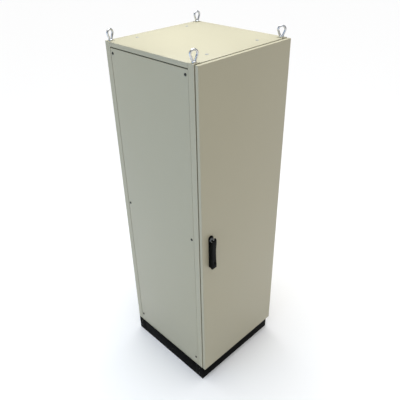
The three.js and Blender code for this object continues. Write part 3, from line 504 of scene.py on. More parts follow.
def round_bar(
    name: str, at: Sequence[float], radius: float, length: float, side: Side, sides: int = 24
) -> Piece:
    """Adds a cylinder that stands on a point and grows along a direction.

    Args:
        name: The piece's name.
        at: The middle of its foot.
        radius: Its radius.
        length: How far it reaches.
        side: The direction that it grows in.
        sides: How many flats approximate the round.

    Returns:
        The new piece.
    """
    bpy.ops.object.select_all(action="DESELECT")
    middle = Vector(at) + side.normal * length / 2
    bpy.ops.mesh.primitive_cylinder_add(
        vertices=sides,
        radius=radius,
        depth=length,
        location=middle,
        rotation=side.turn.to_euler(),
    )
    piece = bpy.context.object
    piece.name = name
    settle(piece)
    return piece


def choose_faces(piece: Piece, test: Test) -> None:
    """Selects the faces that pass a test, for the next edit.

    Args:
        piece: The mesh.
        test: Says yes or no to a face's centre and normal.
    """
    mesh = piece.data
    clear_choice(mesh)
    for face in mesh.polygons:
        if test(face.center, face.normal):
            face.select = True
    bpy.context.tool_settings.mesh_select_mode = (False, False, True)


def choose_edges(piece: Piece, test: Test) -> bool:
    """Selects the edges that pass a test, for the next edit.

    Args:
        piece: The mesh.
        test: Says yes or no to an edge's two ends.

    Returns:
        Whether any edge was selected.
    """
    mesh = piece.data
    clear_choice(mesh)
    found = False
    for edge in mesh.edges:
        first, second = (mesh.vertices[i] for i in edge.vertices)
        if test(first.co, second.co):
            edge.select = first.select = second.select = True
            found = True
    bpy.context.tool_settings.mesh_select_mode = (False, True, False)
    return found


def clear_choice(mesh: bpy.types.Mesh) -> None:
    """Deselects everything in a mesh."""
    for items in (mesh.vertices, mesh.edges, mesh.polygons):
        items.foreach_set("select", [False] * len(items))


def edit(piece: Piece, *steps: Step) -> None:
    """Runs edit-mode steps on a piece's chosen faces or edges.

    Args:
        piece: The mesh to edit.
        steps: Each step's operator call.
    """
    select_only(piece)
    bpy.ops.object.mode_set(mode="EDIT")
    for step in steps:
        step()
    bpy.ops.object.mode_set(mode="OBJECT")


def all_selected(piece: Piece, *steps: Step) -> None:
    """Runs edit-mode steps on the whole of a piece."""
    edit(piece, lambda: bpy.ops.mesh.select_all(action="SELECT"), *steps)


def bevel_edges(piece: Piece, test: Test, width: float, segments: int = 3) -> None:
    """Rounds the edges that pass a test.

    Args:
        piece: The mesh.
        test: Says yes or no to an edge's two ends.
        width: The radius.
        segments: How finely the round is divided.
    """
    if choose_edges(piece, test):
        edit(
            piece,
            lambda: bpy.ops.mesh.bevel(
                offset=width,
                offset_type="OFFSET",
                segments=segments,
                profile=0.5,
                clamp_overlap=True,
            ),
        )


def apply_modifier(piece: Piece, kind: str, **settings: object) -> None:
    """Adds a modifier and applies it.

    Args:
        piece: The mesh.
        kind: The modifier's type.
        settings: Its settings by name.
    """
    select_only(piece)
    modifier = piece.modifiers.new(kind.lower(), kind)
    for name, value in settings.items():
        setattr(modifier, name, value)
    bpy.ops.object.modifier_apply(modifier=modifier.name)


def soften(piece: Piece, edge: Edge) -> None:
    """Breaks every sharp edge and shades the piece smooth.

    Args:
        piece: The mesh.
        edge: What is left of each edge.
    """
    width, segments = edge.value
    apply_modifier(
        piece,
        "BEVEL",
        width=width,
        segments=segments,
        limit_method="ANGLE",
        angle_limit=SHARP,
        use_clamp_overlap=True,
        harden_normals=False,
    )
    smooth(piece)


def smooth(piece: Piece, degrees: float = 40.0) -> None:
    """Shades a piece smooth, except across edges sharper than an angle."""
    select_only(piece)
    bpy.ops.object.shade_smooth_by_angle(angle=math.radians(degrees))


def outward(piece: Piece) -> None:
    """Merges doubles and turns every face outwards."""
    all_selected(
        piece,
        lambda: bpy.ops.mesh.remove_doubles(threshold=DOUBLES),
        lambda: bpy.ops.mesh.normals_make_consistent(inside=False),
    )


def cut_away(piece: Piece, *tools: Piece) -> None:
    """Subtracts tools from a piece and throws the tools away."""
    for tool in tools:
        apply_modifier(piece, "BOOLEAN", operation="DIFFERENCE", object=tool, solver="EXACT")
        bpy.data.objects.remove(tool)


def weld(name: str, *parts: Piece) -> Piece:
    """Joins meshes into one object.

    Args:
        name: The new piece's name.
        parts: What to join; the first one stays.

    Returns:
        The joined piece.
    """
    bpy.ops.object.select_all(action="DESELECT")
    for part in parts:
        part.select_set(True)
    bpy.context.view_layer.objects.active = parts[0]
    if len(parts) > 1:
        bpy.ops.object.join()
    parts[0].name = name
    return parts[0]


def copy_at(model: Piece, name: str, place: Matrix) -> Piece:
    """Copies a modelled piece, with a mesh of its own, to a place.

    Args:
        model: The piece to copy, modelled at the origin.
        name: The copy's name.
        place: Where it goes.

    Returns:
        The copy.
    """
    select_only(model)
    bpy.ops.object.duplicate()
    copy = bpy.context.object
    copy.name = name
    copy.matrix_world = place
    settle(copy)
    return copy


def merged_copy(node: str, name: str) -> Piece:
    """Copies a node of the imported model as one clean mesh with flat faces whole.

    Args:
        node: The node.
        name: The copy's name.

    Returns:
        The copy, on no body yet.
    """
    source = frame["nodes"][node]
    copy = bpy.data.objects.new(name, source.data.copy())
    bpy.context.scene.collection.objects.link(copy)
    all_selected(
        copy,
        lambda: bpy.ops.mesh.remove_doubles(threshold=NODE_DOUBLES),
        lambda: bpy.ops.mesh.dissolve_limited(angle_limit=FLAT),
    )
    return copy


def hand_over(
    piece: Piece,
    body: str,
    finish: Finish,
    stands_for: Sequence[str] = (),
) -> None:
    """Finishes a piece and puts it on its body.

    Args:
        piece: The finished mesh.
        body: The body that it moves with.
        finish: Its finish.
        stands_for: The nodes that it is shown in place of.
    """
    PAINTS.put(piece, finish)
    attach(piece, body)
    if stands_for:
        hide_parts(*stands_for)
    log.info("%s rides on %s, finished in %s", piece.name, body, finish.name)


def joined_up(
    name: str,
    parts: Sequence[Piece],
    edge: Edge,
    body: str,
    finish: Finish,
) -> None:
    """Joins parts into one piece, softens its edges and puts it on its body.

    Args:
        name: The piece's name.
        parts: What to join.
        edge: What is left of each edge.
        body: The body that it moves with.
        finish: Its finish.
    """
    piece = weld(name, *parts)
    soften(piece, edge)
    hand_over(piece, body, finish)


def slab(name: str, x: float, z: float, half: Span, depth: Span) -> Piece:
    """Adds a block that faces the door.

    Args:
        name: The piece's name.
        x: Its middle across the cabinet.
        z: Its middle's height.
        half: Half its width and half its height.
        depth: Where its front and its back are.

    Returns:
        The new piece.
    """
    half_x, half_z = half
    front, back = depth
    return block(name, (x - half_x, front, z - half_z), (x + half_x, back, z + half_z))


def repeat(piece: Piece, count: int, step: Sequence[float]) -> None:
    """Repeats a piece in a row, as part of its own mesh."""
    apply_modifier(
        piece,
        "ARRAY",
        count=count,
        use_relative_offset=False,
        use_constant_offset=True,
        constant_offset_displace=step,
    )


def at_plane(axis: int, value: float) -> Test:
    """A test for edges that lie in the plane where one coordinate has a value."""
    return lambda a, b: abs(a[axis] - value) < NEAR and abs(b[axis] - value) < NEAR


def spread(low: float, high: float, count: int) -> list[float]:
    """Evenly spaced values from low to high."""
    return [low + (high - low) * i / (count - 1) for i in range(count)]


# ---------- Small hardware, modelled once and copied ----------


class Fixing(Enum):
    """The fixings that are repeated, by the method that models each one."""

    PANEL_SCREW = "panel_screw"
    SMALL_SCREW = "small_screw"
    ROOF_PLUG = "roof_plug"
    HEX_BOLT = "hex_bolt"


@dataclass
class Hardware:
    """The screws, plugs and nuts that are repeated over the cabinet.

    Each model stands at the origin on its seat and looks along +Z. A Span here is a radius and a
    height. The drive's floor, the crown and the washer's round are shares of a height.
    """

    screw_radius: float = 5.0 * MM
    screw_height: float = 2.8 * MM
    washer_radius: float = 7.0 * MM
    washer_height: float = 1.2 * MM
    drive_radius: float = 2.2 * MM
    drive_floor: float = 0.3
    crown: float = 0.7
    washer_round: float = 0.4
    small_size: Span = (3.6 * MM, 2.2 * MM)
    plug_size: Span = (7.5 * MM, 1.6 * MM)
    plug_round: float = 1.1 * MM
    plug_rim: float = 2.2 * MM
    plug_dish: float = 0.4 * MM
    bolt_washer: Span = (8.5 * MM, 1.4 * MM)
    bolt_washer_round: float = 0.4 * MM
    bolt_head: Span = (7.0 * MM, 5.5 * MM)
    bolt_thread: Span = (3.6 * MM, 2.5 * MM)
    models: dict[Fixing, Piece] = field(default_factory=dict)

    def panel_screw(self) -> Piece:
        """A domed socket screw on a washer."""
        radius, height = self.washer_radius, self.washer_height
        washer = round_bar("washer", (0, 0, 0), radius, height, Side.TOP, sides=28)
        bevel_edges(washer, at_plane(2, height), height * self.washer_round, 2)
        head = self._dome(self.screw_radius, self.screw_height, height)
        return weld("panel_screw", washer, head)

    def small_screw(self) -> Piece:
        """A small domed socket screw with no washer."""
        return self._dome(*self.small_size, 0.0)

    def roof_plug(self) -> Piece:
        """A low round plug that closes a fixing hole in the roof."""
        radius, height = self.plug_size
        plug = round_bar("roof_plug", (0, 0, 0), radius, height, Side.TOP, sides=32)
        bevel_edges(plug, at_plane(2, height), self.plug_round, 4)
        choose_faces(plug, lambda c, n: c.z > height - NEAR and n.z > LOOKS)
        edit(plug, lambda: bpy.ops.mesh.inset(thickness=self.plug_rim, depth=-self.plug_dish))
        smooth(plug)
        return plug

    def hex_bolt(self) -> Piece:
        """A hexagon bolt head on a washer, with the thread's end in the middle."""
        seat = self.bolt_washer[1]
        top = seat + self.bolt_head[1]
        washer = round_bar("washer", (0, 0, 0), *self.bolt_washer, Side.TOP, sides=28)
        bevel_edges(washer, at_plane(2, seat), self.bolt_washer_round, 2)
        nut = round_bar("nut", (0, 0, seat), *self.bolt_head, Side.TOP, sides=6)
        soften(nut, Edge.FORGED)
        thread = round_bar("thread", (0, 0, top), *self.bolt_thread, Side.TOP, sides=20)
        soften(thread, Edge.PLAIN)
        return weld("hex_bolt", washer, nut, thread)

    def _dome(self, radius: float, height: float, base: float) -> Piece:
        """Makes a domed head with a hexagonal socket.

        Args:
            radius: The head's radius.
            height: The head's height.
            base: The height that it sits at.

        Returns:
            The head.
        """
        head = round_bar("screw_head", (0, 0, base), radius, height, Side.TOP, sides=28)
        bevel_edges(head, at_plane(2, base + height), height * self.crown, 4)
        floor = (0, 0, base + height * self.drive_floor)
        socket = round_bar("socket", floor, self.drive_radius, height, Side.TOP, sides=6)
        cut_away(head, socket)
        smooth(head)
        return head

    def get(self, kind: Fixing) -> Piece:
        """The one model of a kind, made when it is first asked for."""
        if kind not in self.models:
            self.models[kind] = getattr(self, kind.value)()
        return self.models[kind]

    def row(self, kind: Fixing, name: str, points: Sequence[Sequence[float]], side: Side) -> Piece:
        """Copies a model to several points and joins the copies.

        Args:
            kind: Which model.
            name: The joined piece's name.
            points: Where each one sits.
            side: The direction that they look in.

        Returns:
            The joined piece.
        """
        places = [Matrix.Translation(Vector(p)) @ side.turn for p in points]
        copies = [copy_at(self.get(kind), name, place) for place in places]
        return weld(name, *copies)

    def clear(self) -> None:
        """Throws the models away when every copy is made."""
        for model in self.models.values():
            bpy.data.objects.remove(model)
        self.models.clear()


HARDWARE = Hardware()


def fasten(
    kind: Fixing,
    name: str,
    points: Sequence[Sequence[float]],
    side: Side,
    body: str = "cabinet",
    finish: Finish = BRIGHT_ZINC,
) -> None:
    """Puts the same screw or bolt in at several points.

    Args:
        kind: Which model.
        name: The joined piece's name.
        points: Where each one sits.
        side: The direction that they look in.
        body: The body that they move with.
        finish: Their finish.
    """
    hand_over(HARDWARE.row(kind, name, points, side), body, finish)


# ---------- Carcass: panels, roof, plinth ----------


@dataclass
class PanelSheet:
    """A screwed side or rear panel: one sheet with its edges folded in round soft bends."""

    node: str
    side: Side
    sheet: float = 1.5 * MM
    bend: float = 2.6 * MM
    screw_inset: float = 15.5 * MM
    screw_top: float = 23.0 * MM
    screw_bottom: float = 48.5 * MM
    middle_rise: float = 21.0 * MM

    def build(self) -> None:
        """Folds the sheet and puts its six screws in."""
        low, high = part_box(self.node)
        normal = self.side.normal
        axis = max(range(3), key=lambda i: abs(normal[i]))
        face = high[axis] if normal[axis] > 0 else low[axis]
        back = low[axis] if normal[axis] > 0 else high[axis]
        sheet = block(self.node + "_sheet", low, high)
        bevel_edges(sheet, lambda a, b: abs((a + b)[axis] / 2 - back) > NEAR, self.bend, 4)
        choose_faces(sheet, lambda c, n: abs(c[axis] - back) < NEAR)
        edit(sheet, lambda: bpy.ops.mesh.delete(type="FACE"))
        apply_modifier(sheet, "SOLIDIFY", thickness=self.sheet, offset=-1, use_even_offset=True)
        smooth(sheet)
        hand_over(sheet, "cabinet", LIGHT_GREY, [self.node])
        self._screws(low, high, axis, face)

    def _screws(self, low: Vector, high: Vector, axis: int, face: float) -> None:
        """Puts three screws down each edge.

        Args:
            low: The panel's lowest corner.
            high: The panel's highest corner.
            axis: The axis that the panel looks along.
            face: Where its outer face is on that axis.
        """
        along = 1 - axis
        top, bottom = high.z - self.screw_top, low.z + self.screw_bottom
        heights = (bottom, (top + bottom) / 2 + self.middle_rise, top)
        points = []
        for across in (low[along] + self.screw_inset, high[along] - self.screw_inset):
            for height in heights:
                point = [0.0, 0.0, height]
                point[axis] = face
                point[along] = across
                points.append(point)
        name = self.node + "_screws"
        fasten(Fixing.PANEL_SCREW, name, points, self.side, finish=DARK_SCREW)


@dataclass
class Roof:
    """The roof sheet with its folded skirt, and the plugs over its fixing holes."""

    bend: float = 1.8 * MM
    plug_share: Span = (0.27, 0.39)

    def build(self) -> None:
        """Rounds the roof's bends and adds the four plugs."""
        low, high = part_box("roof_panel")
        sheet = merged_copy("roof_panel", "roof_sheet")
        bevel_edges(sheet, at_plane(2, high.z), self.bend, 3)
        smooth(sheet, BLUNT)
        hand_over(sheet, "cabinet", LIGHT_GREY, ["roof_panel"])
        middle, size = (low + high) / 2, high - low
        reach_x, reach_y = size.x * self.plug_share[0], size.y * self.plug_share[1]
        points = [
            (middle.x + sx * reach_x, middle.y + sy * reach_y, high.z)
            for sx in (-1, 1)
            for sy in (-1, 1)
        ]
        plugs = HARDWARE.row(Fixing.ROOF_PLUG, "roof_plugs", points, Side.TOP)
        hand_over(plugs, "cabinet", DUCT_GREY)


@dataclass
class Plinth:
    """The plinth's beams, with rounded folds and the bolts that hold them together."""

    bolt_inset: float = 34.0 * MM
    bolt_heights: Span = (30.0 * MM, 70.0 * MM)

    def build(self) -> None:
        """Rounds the four beams and bolts their corners."""
        for name in ("plinth_front", "plinth_rear", "plinth_left", "plinth_right"):
            beam = merged_copy(name, name + "_beam")
            soften(beam, Edge.FOLDED)
            hand_over(beam, "cabinet", PLINTH_BLACK, [name])
        for name, side in (("left", Side.LEFT), ("right", Side.RIGHT)):
            low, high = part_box("plinth_" + name)
            face = low.x if side is Side.LEFT else high.x
            ends = (low.y - self.bolt_inset, high.y + self.bolt_inset)
            points = [(face, y, z) for y in ends for z in self.bolt_heights]
            fasten(Fixing.SMALL_SCREW, "plinth_bolts_" + name, points, side, finish=DARK_SCREW)


@dataclass
class LiftingEye:
    """A pear-shaped wire eye on a collar, screwed into the top of a corner post."""

    corner: str
    yaw: float
    wire: float = 5.0 * MM
    bend: float = 16.5 * MM
    rise: float = 27.0 * MM
    collar_radius: float = 11.0 * MM
    collar_height: float = 7.0 * MM
    collar_round: float = 3.0 * MM
    collar_foot: float = 0.8 * MM
    shank_radius: float = 6.0 * MM
    shank_short: float = 1.0 * MM
    neck_share: float = 0.9
    flats: int = 20
    bend_steps: int = 30

    def build(self) -> None:
        """Bends the wire, turns the collar and joins them."""
        node = "lifting_eye_" + self.corner
        low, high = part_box(node)
        top = high.z - (self.rise + self.bend + self.wire)
        eye = weld(node + "_forging", self._wire(), self._collar(high.z - low.z))
        turn = Matrix.Rotation(self.yaw, 4, "Z")
        middle = (low + high) / 2
        eye.matrix_world = Matrix.Translation((middle.x, middle.y, top)) @ turn
        settle(eye)
        smooth(eye, BLUNT)
        hand_over(eye, "cabinet", BRIGHT_ZINC, [node])

    def _wire(self) -> Piece:
        """Extrudes a round section up one leg, spins it round the bend and takes it down again.

        Returns:
            The bent wire, above the collar's top at the origin.
        """
        foot = Vector((-self.wire * self.neck_share, 0, -self.wire))
        rise = self.rise - foot.z
        distance = math.hypot(foot.x, rise)
        leg = math.sqrt(distance**2 - self.bend**2)
        half_turn = math.pi / 2 + math.asin(self.bend / distance) - math.atan2(-foot.x, rise)
        # The leg meets the bend without a kink.
        across, up = self.bend * math.sin(half_turn), self.bend * math.cos(half_turn)
        start = Vector((-across, 0, self.rise + up))
        direction = (start - foot).normalized()
        tilt = Vector((0, 0, 1)).rotation_difference(direction).to_euler()
        bpy.ops.object.select_all(action="DESELECT")
        bpy.ops.mesh.primitive_circle_add(
            vertices=self.flats, radius=self.wire, fill_type="NGON", location=foot, rotation=tilt
        )
        wire = bpy.context.object
        wire.name = "eye_wire"
        settle(wire)
        climb = direction * leg
        descent = Vector((climb.x, 0, -climb.z))
        all_selected(
            wire,
            lambda: bpy.ops.mesh.extrude_region_move(TRANSFORM_OT_translate={"value": climb}),
            lambda: bpy.ops.mesh.spin(
                steps=self.bend_steps,
                angle=2 * half_turn,
                center=(0, 0, self.rise),
                axis=(0, -1, 0),
            ),
            lambda: bpy.ops.mesh.extrude_region_move(TRANSFORM_OT_translate={"value": descent}),
        )
        outward(wire)
        return wire

    def _collar(self, whole: float) -> Piece:
        """Turns the collar and the shank below it.

        Args:
            whole: The whole eye's height, from the shank's end to the top of the bend.

        Returns:
            The collar, with its top at the origin.
        """
        seat, height = -self.collar_height, self.collar_height
        radius = self.collar_radius
        collar = round_bar("eye_collar", (0, 0, seat), radius, height, Side.TOP, sides=40)
        bevel_edges(collar, at_plane(2, 0.0), self.collar_round, 4)
        bevel_edges(collar, at_plane(2, seat), self.collar_foot, 2)
        below = whole - (self.rise + self.bend + self.wire)
        length = below - self.shank_short
        shank = round_bar("eye_shank", (0, 0, -below), self.shank_radius, length, Side.TOP)
        return weld("eye_collar", collar, shank)


# ---------- Door ----------


@dataclass
class DoorSheet:
    """The door's one sheet, folded round all four edges and back in behind them."""

    bend: float = 1.8 * MM

    def build(self) -> None:
        """Rounds the folds along the door's face."""
        low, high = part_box("door_panel")
        sheet = merged_copy("door_panel", "door_sheet")
        front = at_plane(1, low.y)

        def on_rim(a: Vector, b: Vector) -> bool:
            """Keeps to the four outer edges of the face, and leaves the shaft's hole out."""
            middle = (a + b) / 2
            across = min(abs(middle.x - low.x), abs(middle.x - high.x))
            along = min(abs(middle.z - low.z), abs(middle.z - high.z))
            return front(a, b) and min(across, along) < NEAR

        bevel_edges(sheet, on_rim, self.bend, 4)
        smooth(sheet, BLUNT)
        hand_over(sheet, "door", LIGHT_GREY, ["door_panel"])


@dataclass
class SwingHandle:
    """The black swing handle: its plate, the lever that swings out, and the capped lock."""

    plate_round: float = 2.2 * MM
    shaft_clear: float = 11.0 * MM
    lever_round: float = 5.0 * MM
    face_depth: float = 4.0 * MM

    def build(self) -> None:
        """Shapes the plate and the lever and dresses the lock."""
        self._plate()
        self._lever()
        self._cap()

    def _plate(self) -> None:
        """Rounds the plate's outer edge."""
        low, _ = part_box("handle_plate")
        plate = merged_copy("handle_plate", "handle_back_plate")
        outer = at_plane(1, low.y)
        shaft_low, shaft_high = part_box("handle_shaft")
        middle = (shaft_low + shaft_high) / 2

        def on_rim(a: Vector, b: Vector) -> bool:
            """Leaves the shaft's hole out."""
            away = math.hypot((a.x + b.x) / 2 - middle.x, (a.z + b.z) / 2 - middle.z)
            return outer(a, b) and away > self.shaft_clear

        bevel_edges(plate, on_rim, self.plate_round, 4)
        smooth(plate)
        hand_over(plate, "door", HANDLE_BLACK, ["handle_plate"])

    def _lever(self) -> None:
        """Rounds the lever's long front edges generously and its other edges a little."""
        low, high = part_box("swing_lever")
        lever = merged_copy("swing_lever", "swing_lever_grip")
        waist = (low.y + high.y) / 2

        def front_edge(a: Vector, b: Vector) -> bool:
            """Keeps to the two long edges of the lever's face."""
            same_side = abs(a.x - b.x) < NEAR
            at_side = min(abs(a.x - low.x), abs(a.x - high.x)) < NEAR
            return same_side and at_side and max(a.y, b.y) < waist + self.face_depth

        bevel_edges(lever, front_edge, self.lever_round, 5)
        soften(lever, Edge.PLAIN)
        hand_over(lever, "lever", HANDLE_BLACK, ["swing_lever"])

    def _cap(self) -> None:
        """Rounds the lock's face."""
        lock = merged_copy("lock_cylinder", "lock_face")
        soften(lock, Edge.SLIGHT)
        hand_over(lock, "key", HANDLE_BLACK, ["lock_cylinder"])


# ---------- Inside the door ----------


@dataclass
class DoorStiffener:
    """The channel frame inside the door, with a row of fixing holes down each bar."""

    pitch: float = 50.0 * MM
    first: float = 40.0 * MM
    first_across: float = 60.0 * MM
    hole_radius: float = 4.0 * MM
    drill: float = 6.0 * MM
    drill_start: float = 4.0 * MM
    bar: float = 20.0 * MM

    def build(self) -> None:
        """Drills the channel and shades it smooth."""
        low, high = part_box("door_stiffener")
        channel = merged_copy("door_stiffener", "perforated_channel")
        points = []
        for z in self._steps(low.z + self.first, high.z - self.first):
            points += [(low.x + self.bar / 2, z), (high.x - self.bar / 2, z)]
        for x in self._steps(low.x + self.first_across, high.x - self.first_across):
            points += [(x, low.z + self.bar / 2), (x, high.z - self.bar / 2)]
        start = high.y - self.drill_start
        drills = [
            round_bar("drill", (x, start, z), self.hole_radius, self.drill, Side.REAR, sides=16)
            for x, z in points
        ]
        cut_away(channel, weld("drills", *drills))
        smooth(channel)
        hand_over(channel, "door", LIGHT_GREY, ["door_stiffener"])

    def _steps(self, low: float, high: float) -> list[float]:
        """Evenly spaced values that fill a length at about the pitch."""
        return spread(low, high, round((high - low) / self.pitch) + 1)


@dataclass
class LockScrews:
    """The screws that hold the gear housing and the two rod guides."""

    inset: float = 6.5 * MM

    def build(self) -> None:
        """Puts four screws in the housing and one in each guide."""
        low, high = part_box("gear_housing")
        points = [
            (x, high.y, z)
            for x in (low.x + self.inset, high.x - self.inset)
            for z in (low.z + self.inset, high.z - self.inset)
        ]
        for guide in ("rod_guide_upper", "rod_guide_lower"):
            low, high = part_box(guide)
            points.append(((low.x + high.x) / 2, high.y, (low.z + high.z) / 2))
        fasten(Fixing.SMALL_SCREW, "lock_screws", points, Side.REAR, body="door")


@dataclass
class HingeScrews:
    """The screws in the feet of the hinge arms."""

    end_inset: float = 4.0 * MM
    across: float = 9.0 * MM
    foot: float = 1.5 * MM

    def build(self) -> None:
        """Puts a screw above and below each arm."""
        points = []
        for height in ("bottom", "middle", "top"):
            low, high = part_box("hinge_arm_" + height)
            for z in (low.z + self.end_inset, high.z - self.end_inset):
                points.append((low.x + self.across, high.y - self.foot, z))
        fasten(Fixing.SMALL_SCREW, "hinge_screws", points, Side.FRONT)


# ---------- Equipment on the mounting plate ----------


@dataclass
class FuseSwitch:
    """A two-pole fuse switch: the links held by its lid, its contacts, windows and bolts."""

    number: int
    pole_offset: float = 32.0 * MM
    link_half: Point = (20.0 * MM, 20.0 * MM, 33.0 * MM)
    link_sunk: float = 0.2 * MM
    cap_inset: float = 2.0 * MM
    cap_height: float = 1.5 * MM
    blade_half: float = 3.0 * MM
    blade_reach: float = 30.0 * MM
    blade_depth: Span = (10.0 * MM, 35.0 * MM)
    jaw_offset: Span = (4.3 * MM, 53.0 * MM)
    jaw_half: Span = (1.0 * MM, 9.0 * MM)
    jaw_depth: float = 28.0 * MM
    well_depth: float = 50.0 * MM
    lid_depth: float = 30.0 * MM
    window_half: float = 15.0 * MM
    window: Span = (20.0 * MM, 105.0 * MM)
    rim_depth: Span = (-1.6 * MM, 1.0 * MM)
    rim_width: float = 2.5 * MM
    rim_sunk: float = 1.2 * MM
    pane_depth: Span = (-0.9 * MM, -0.3 * MM)
    pane_inset: float = 2.7 * MM
    terminal_drop: float = 12.5 * MM
    shroud_half: float = 24.0 * MM
    shroud_depth: Span = (-50.0 * MM, -4.0 * MM)
    shroud: float = 20.0 * MM
    shroud_lap: float = 0.5 * MM
    entry_radius: float = 13.0 * MM

    def build(self) -> None:
        """Dresses the lid, then the wells and the terminals."""
        self.base_low, self.base_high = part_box(f"fuse_switch_base_{self.number}")
        self.lid_low, self.lid_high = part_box(f"fuse_switch_lid_{self.number}")
        self.lid = f"fuse_lid_{self.number}"
        middle = (self.base_low.x + self.base_high.x) / 2
        self.poles = (middle - self.pole_offset, middle + self.pole_offset)
        self.height = (self.lid_low.z + self.lid_high.z) / 2
        self._links()
        self._jaws()
        self._windows()
        self._terminals()

    def _links(self) -> None:
        """Makes the two fuse links: a ceramic body, metal end plates and flat blades."""
        half_x, half_y, half_z = self.link_half
        back = self.lid_high.y - self.link_sunk
        inset = self.cap_inset
        cap_half = (half_x - inset, half_z + self.cap_height)
        blade_half = (self.blade_half, half_z + self.blade_reach)
        bodies, metals = [], []
        for x in self.poles:
            for name, group, half, depth in (
                ("link", bodies, (half_x, half_z), (0.0, 2 * half_y)),
                ("cap", metals, cap_half, (inset, 2 * half_y - inset)),
                ("blade", metals, blade_half, self.blade_depth),
            ):
                near, far = depth
                group.append(slab(name, x, self.height, half, (back + near, back + far)))
        name = f"fuse_bodies_{self.number}"
        joined_up(name, bodies, Edge.ROUNDED, self.lid, CERAMIC)
        name = f"fuse_blades_{self.number}"
        joined_up(name, metals, Edge.PLAIN, self.lid, BRIGHT_ZINC)

    def _jaws(self) -> None:
        """Makes the pairs of contact jaws at the bottom of each well."""
        bottom = self.base_low.y + self.well_depth
        aside, rise = self.jaw_offset
        jaws = [
            slab("jaw", x + across, z, self.jaw_half, (bottom - self.jaw_depth, bottom))
            for x in self.poles
            for z in (self.height - rise, self.height + rise)
            for across in (-aside, aside)
        ]
        name = f"fuse_jaws_{self.number}"
        joined_up(name, jaws, Edge.EASED, "cabinet", ROLLED_COPPER)

    def _windows(self) -> None:
        """Puts two framed windows in the lid, one over each fuse link."""
        front = self.lid_high.y - self.lid_depth
        low, high = (self.lid_low.z + rise for rise in self.window)
        z, half_z = (low + high) / 2, (high - low) / 2
        rim_depth = tuple(front + depth for depth in self.rim_depth)
        pane_depth = tuple(front + depth for depth in self.pane_depth)
        pane_half = (self.window_half - self.pane_inset, half_z - self.pane_inset)
        rims, panes = [], []
        for x in self.poles:
            rim = slab("rim", x, z, (self.window_half, half_z), rim_depth)
            choose_faces(rim, lambda c, n: n.y < -LOOKS)
            edit(
                rim,
                lambda: bpy.ops.mesh.inset(thickness=self.rim_width, depth=0.0),
                lambda: bpy.ops.mesh.inset(thickness=0.0, depth=-self.rim_sunk),
            )
            soften(rim, Edge.SLIGHT)
            rims.append(rim)
            panes.append(slab("pane", x, z, pane_half, pane_depth))
        rim = weld(f"window_rims_{self.number}", *rims)
        hand_over(rim, self.lid, DARK_MOULDING)
        name = f"window_panes_{self.number}"
        joined_up(name, panes, Edge.FAINT, self.lid, CERAMIC)

    def _terminals(self) -> None:
        """Bolts the upper terminals and shrouds the lower ones."""
        points = [(x, self.base_low.y, self.base_high.z - self.terminal_drop) for x in self.poles]
        fasten(Fixing.HEX_BOLT, f"fuse_switch_bolts_{self.number}", points, Side.FRONT)
        low_y, high_y = (self.base_high.y + depth for depth in self.shroud_depth)
        foot = self.base_low.z - self.shroud
        shrouds = []
        for x in self.poles:
            shroud = block(
                "shroud",
                (x - self.shroud_half, low_y, foot),
                (x + self.shroud_half, high_y, self.base_low.z + self.shroud_lap),
            )
            start = (x, (low_y + high_y) / 2, foot - CLEAR)
            entry = round_bar("entry", start, self.entry_radius, self.shroud, Side.TOP, sides=32)
            cut_away(shroud, entry)
            shrouds.append(shroud)
        name = f"terminal_shrouds_{self.number}"
        joined_up(name, shrouds, Edge.MOULDED, "cabinet", GREY_MOULDING)


@dataclass
class CopperBolts:
    """The bolts through the copper combs' tabs and risers, and the nuts on their guard."""

    tab_rise: float = 12.0 * MM
    riser_drop: float = 13.0 * MM
    riser_offset: float = 60.0 * MM
    bolt_aside: float = 10.0 * MM
    pole_offset: float = 32.0 * MM
    guard_leg: float = 95.0 * MM
    guard_inset: float = 8.0 * MM

    def build(self) -> None:
        """Bolts both combs, and the guard to its legs."""
        for name, pole in (("busbar_positive", -1), ("busbar_negative", 1)):
            low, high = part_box(name)
            points = []
            for number in (1, 2, 3):
                base_low, base_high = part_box(f"fuse_switch_base_{number}")
                middle = (base_low.x + base_high.x) / 2
                points.append((middle + pole * self.pole_offset, low.y, low.z + self.tab_rise))
            for aside in (-self.bolt_aside, self.bolt_aside):
                x = pole * self.riser_offset + aside
                points.append((x, low.y, high.z - self.riser_drop))
            fasten(Fixing.HEX_BOLT, name + "_bolts", points, Side.FRONT)
        low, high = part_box("busbar_guard")
        points = [
            (x, low.y, z)
            for x in (-self.guard_leg, self.guard_leg)
            for z in (low.z + self.guard_inset, high.z - self.guard_inset)
        ]
        fasten(Fixing.HEX_BOLT, "guard_nuts", points, Side.FRONT)


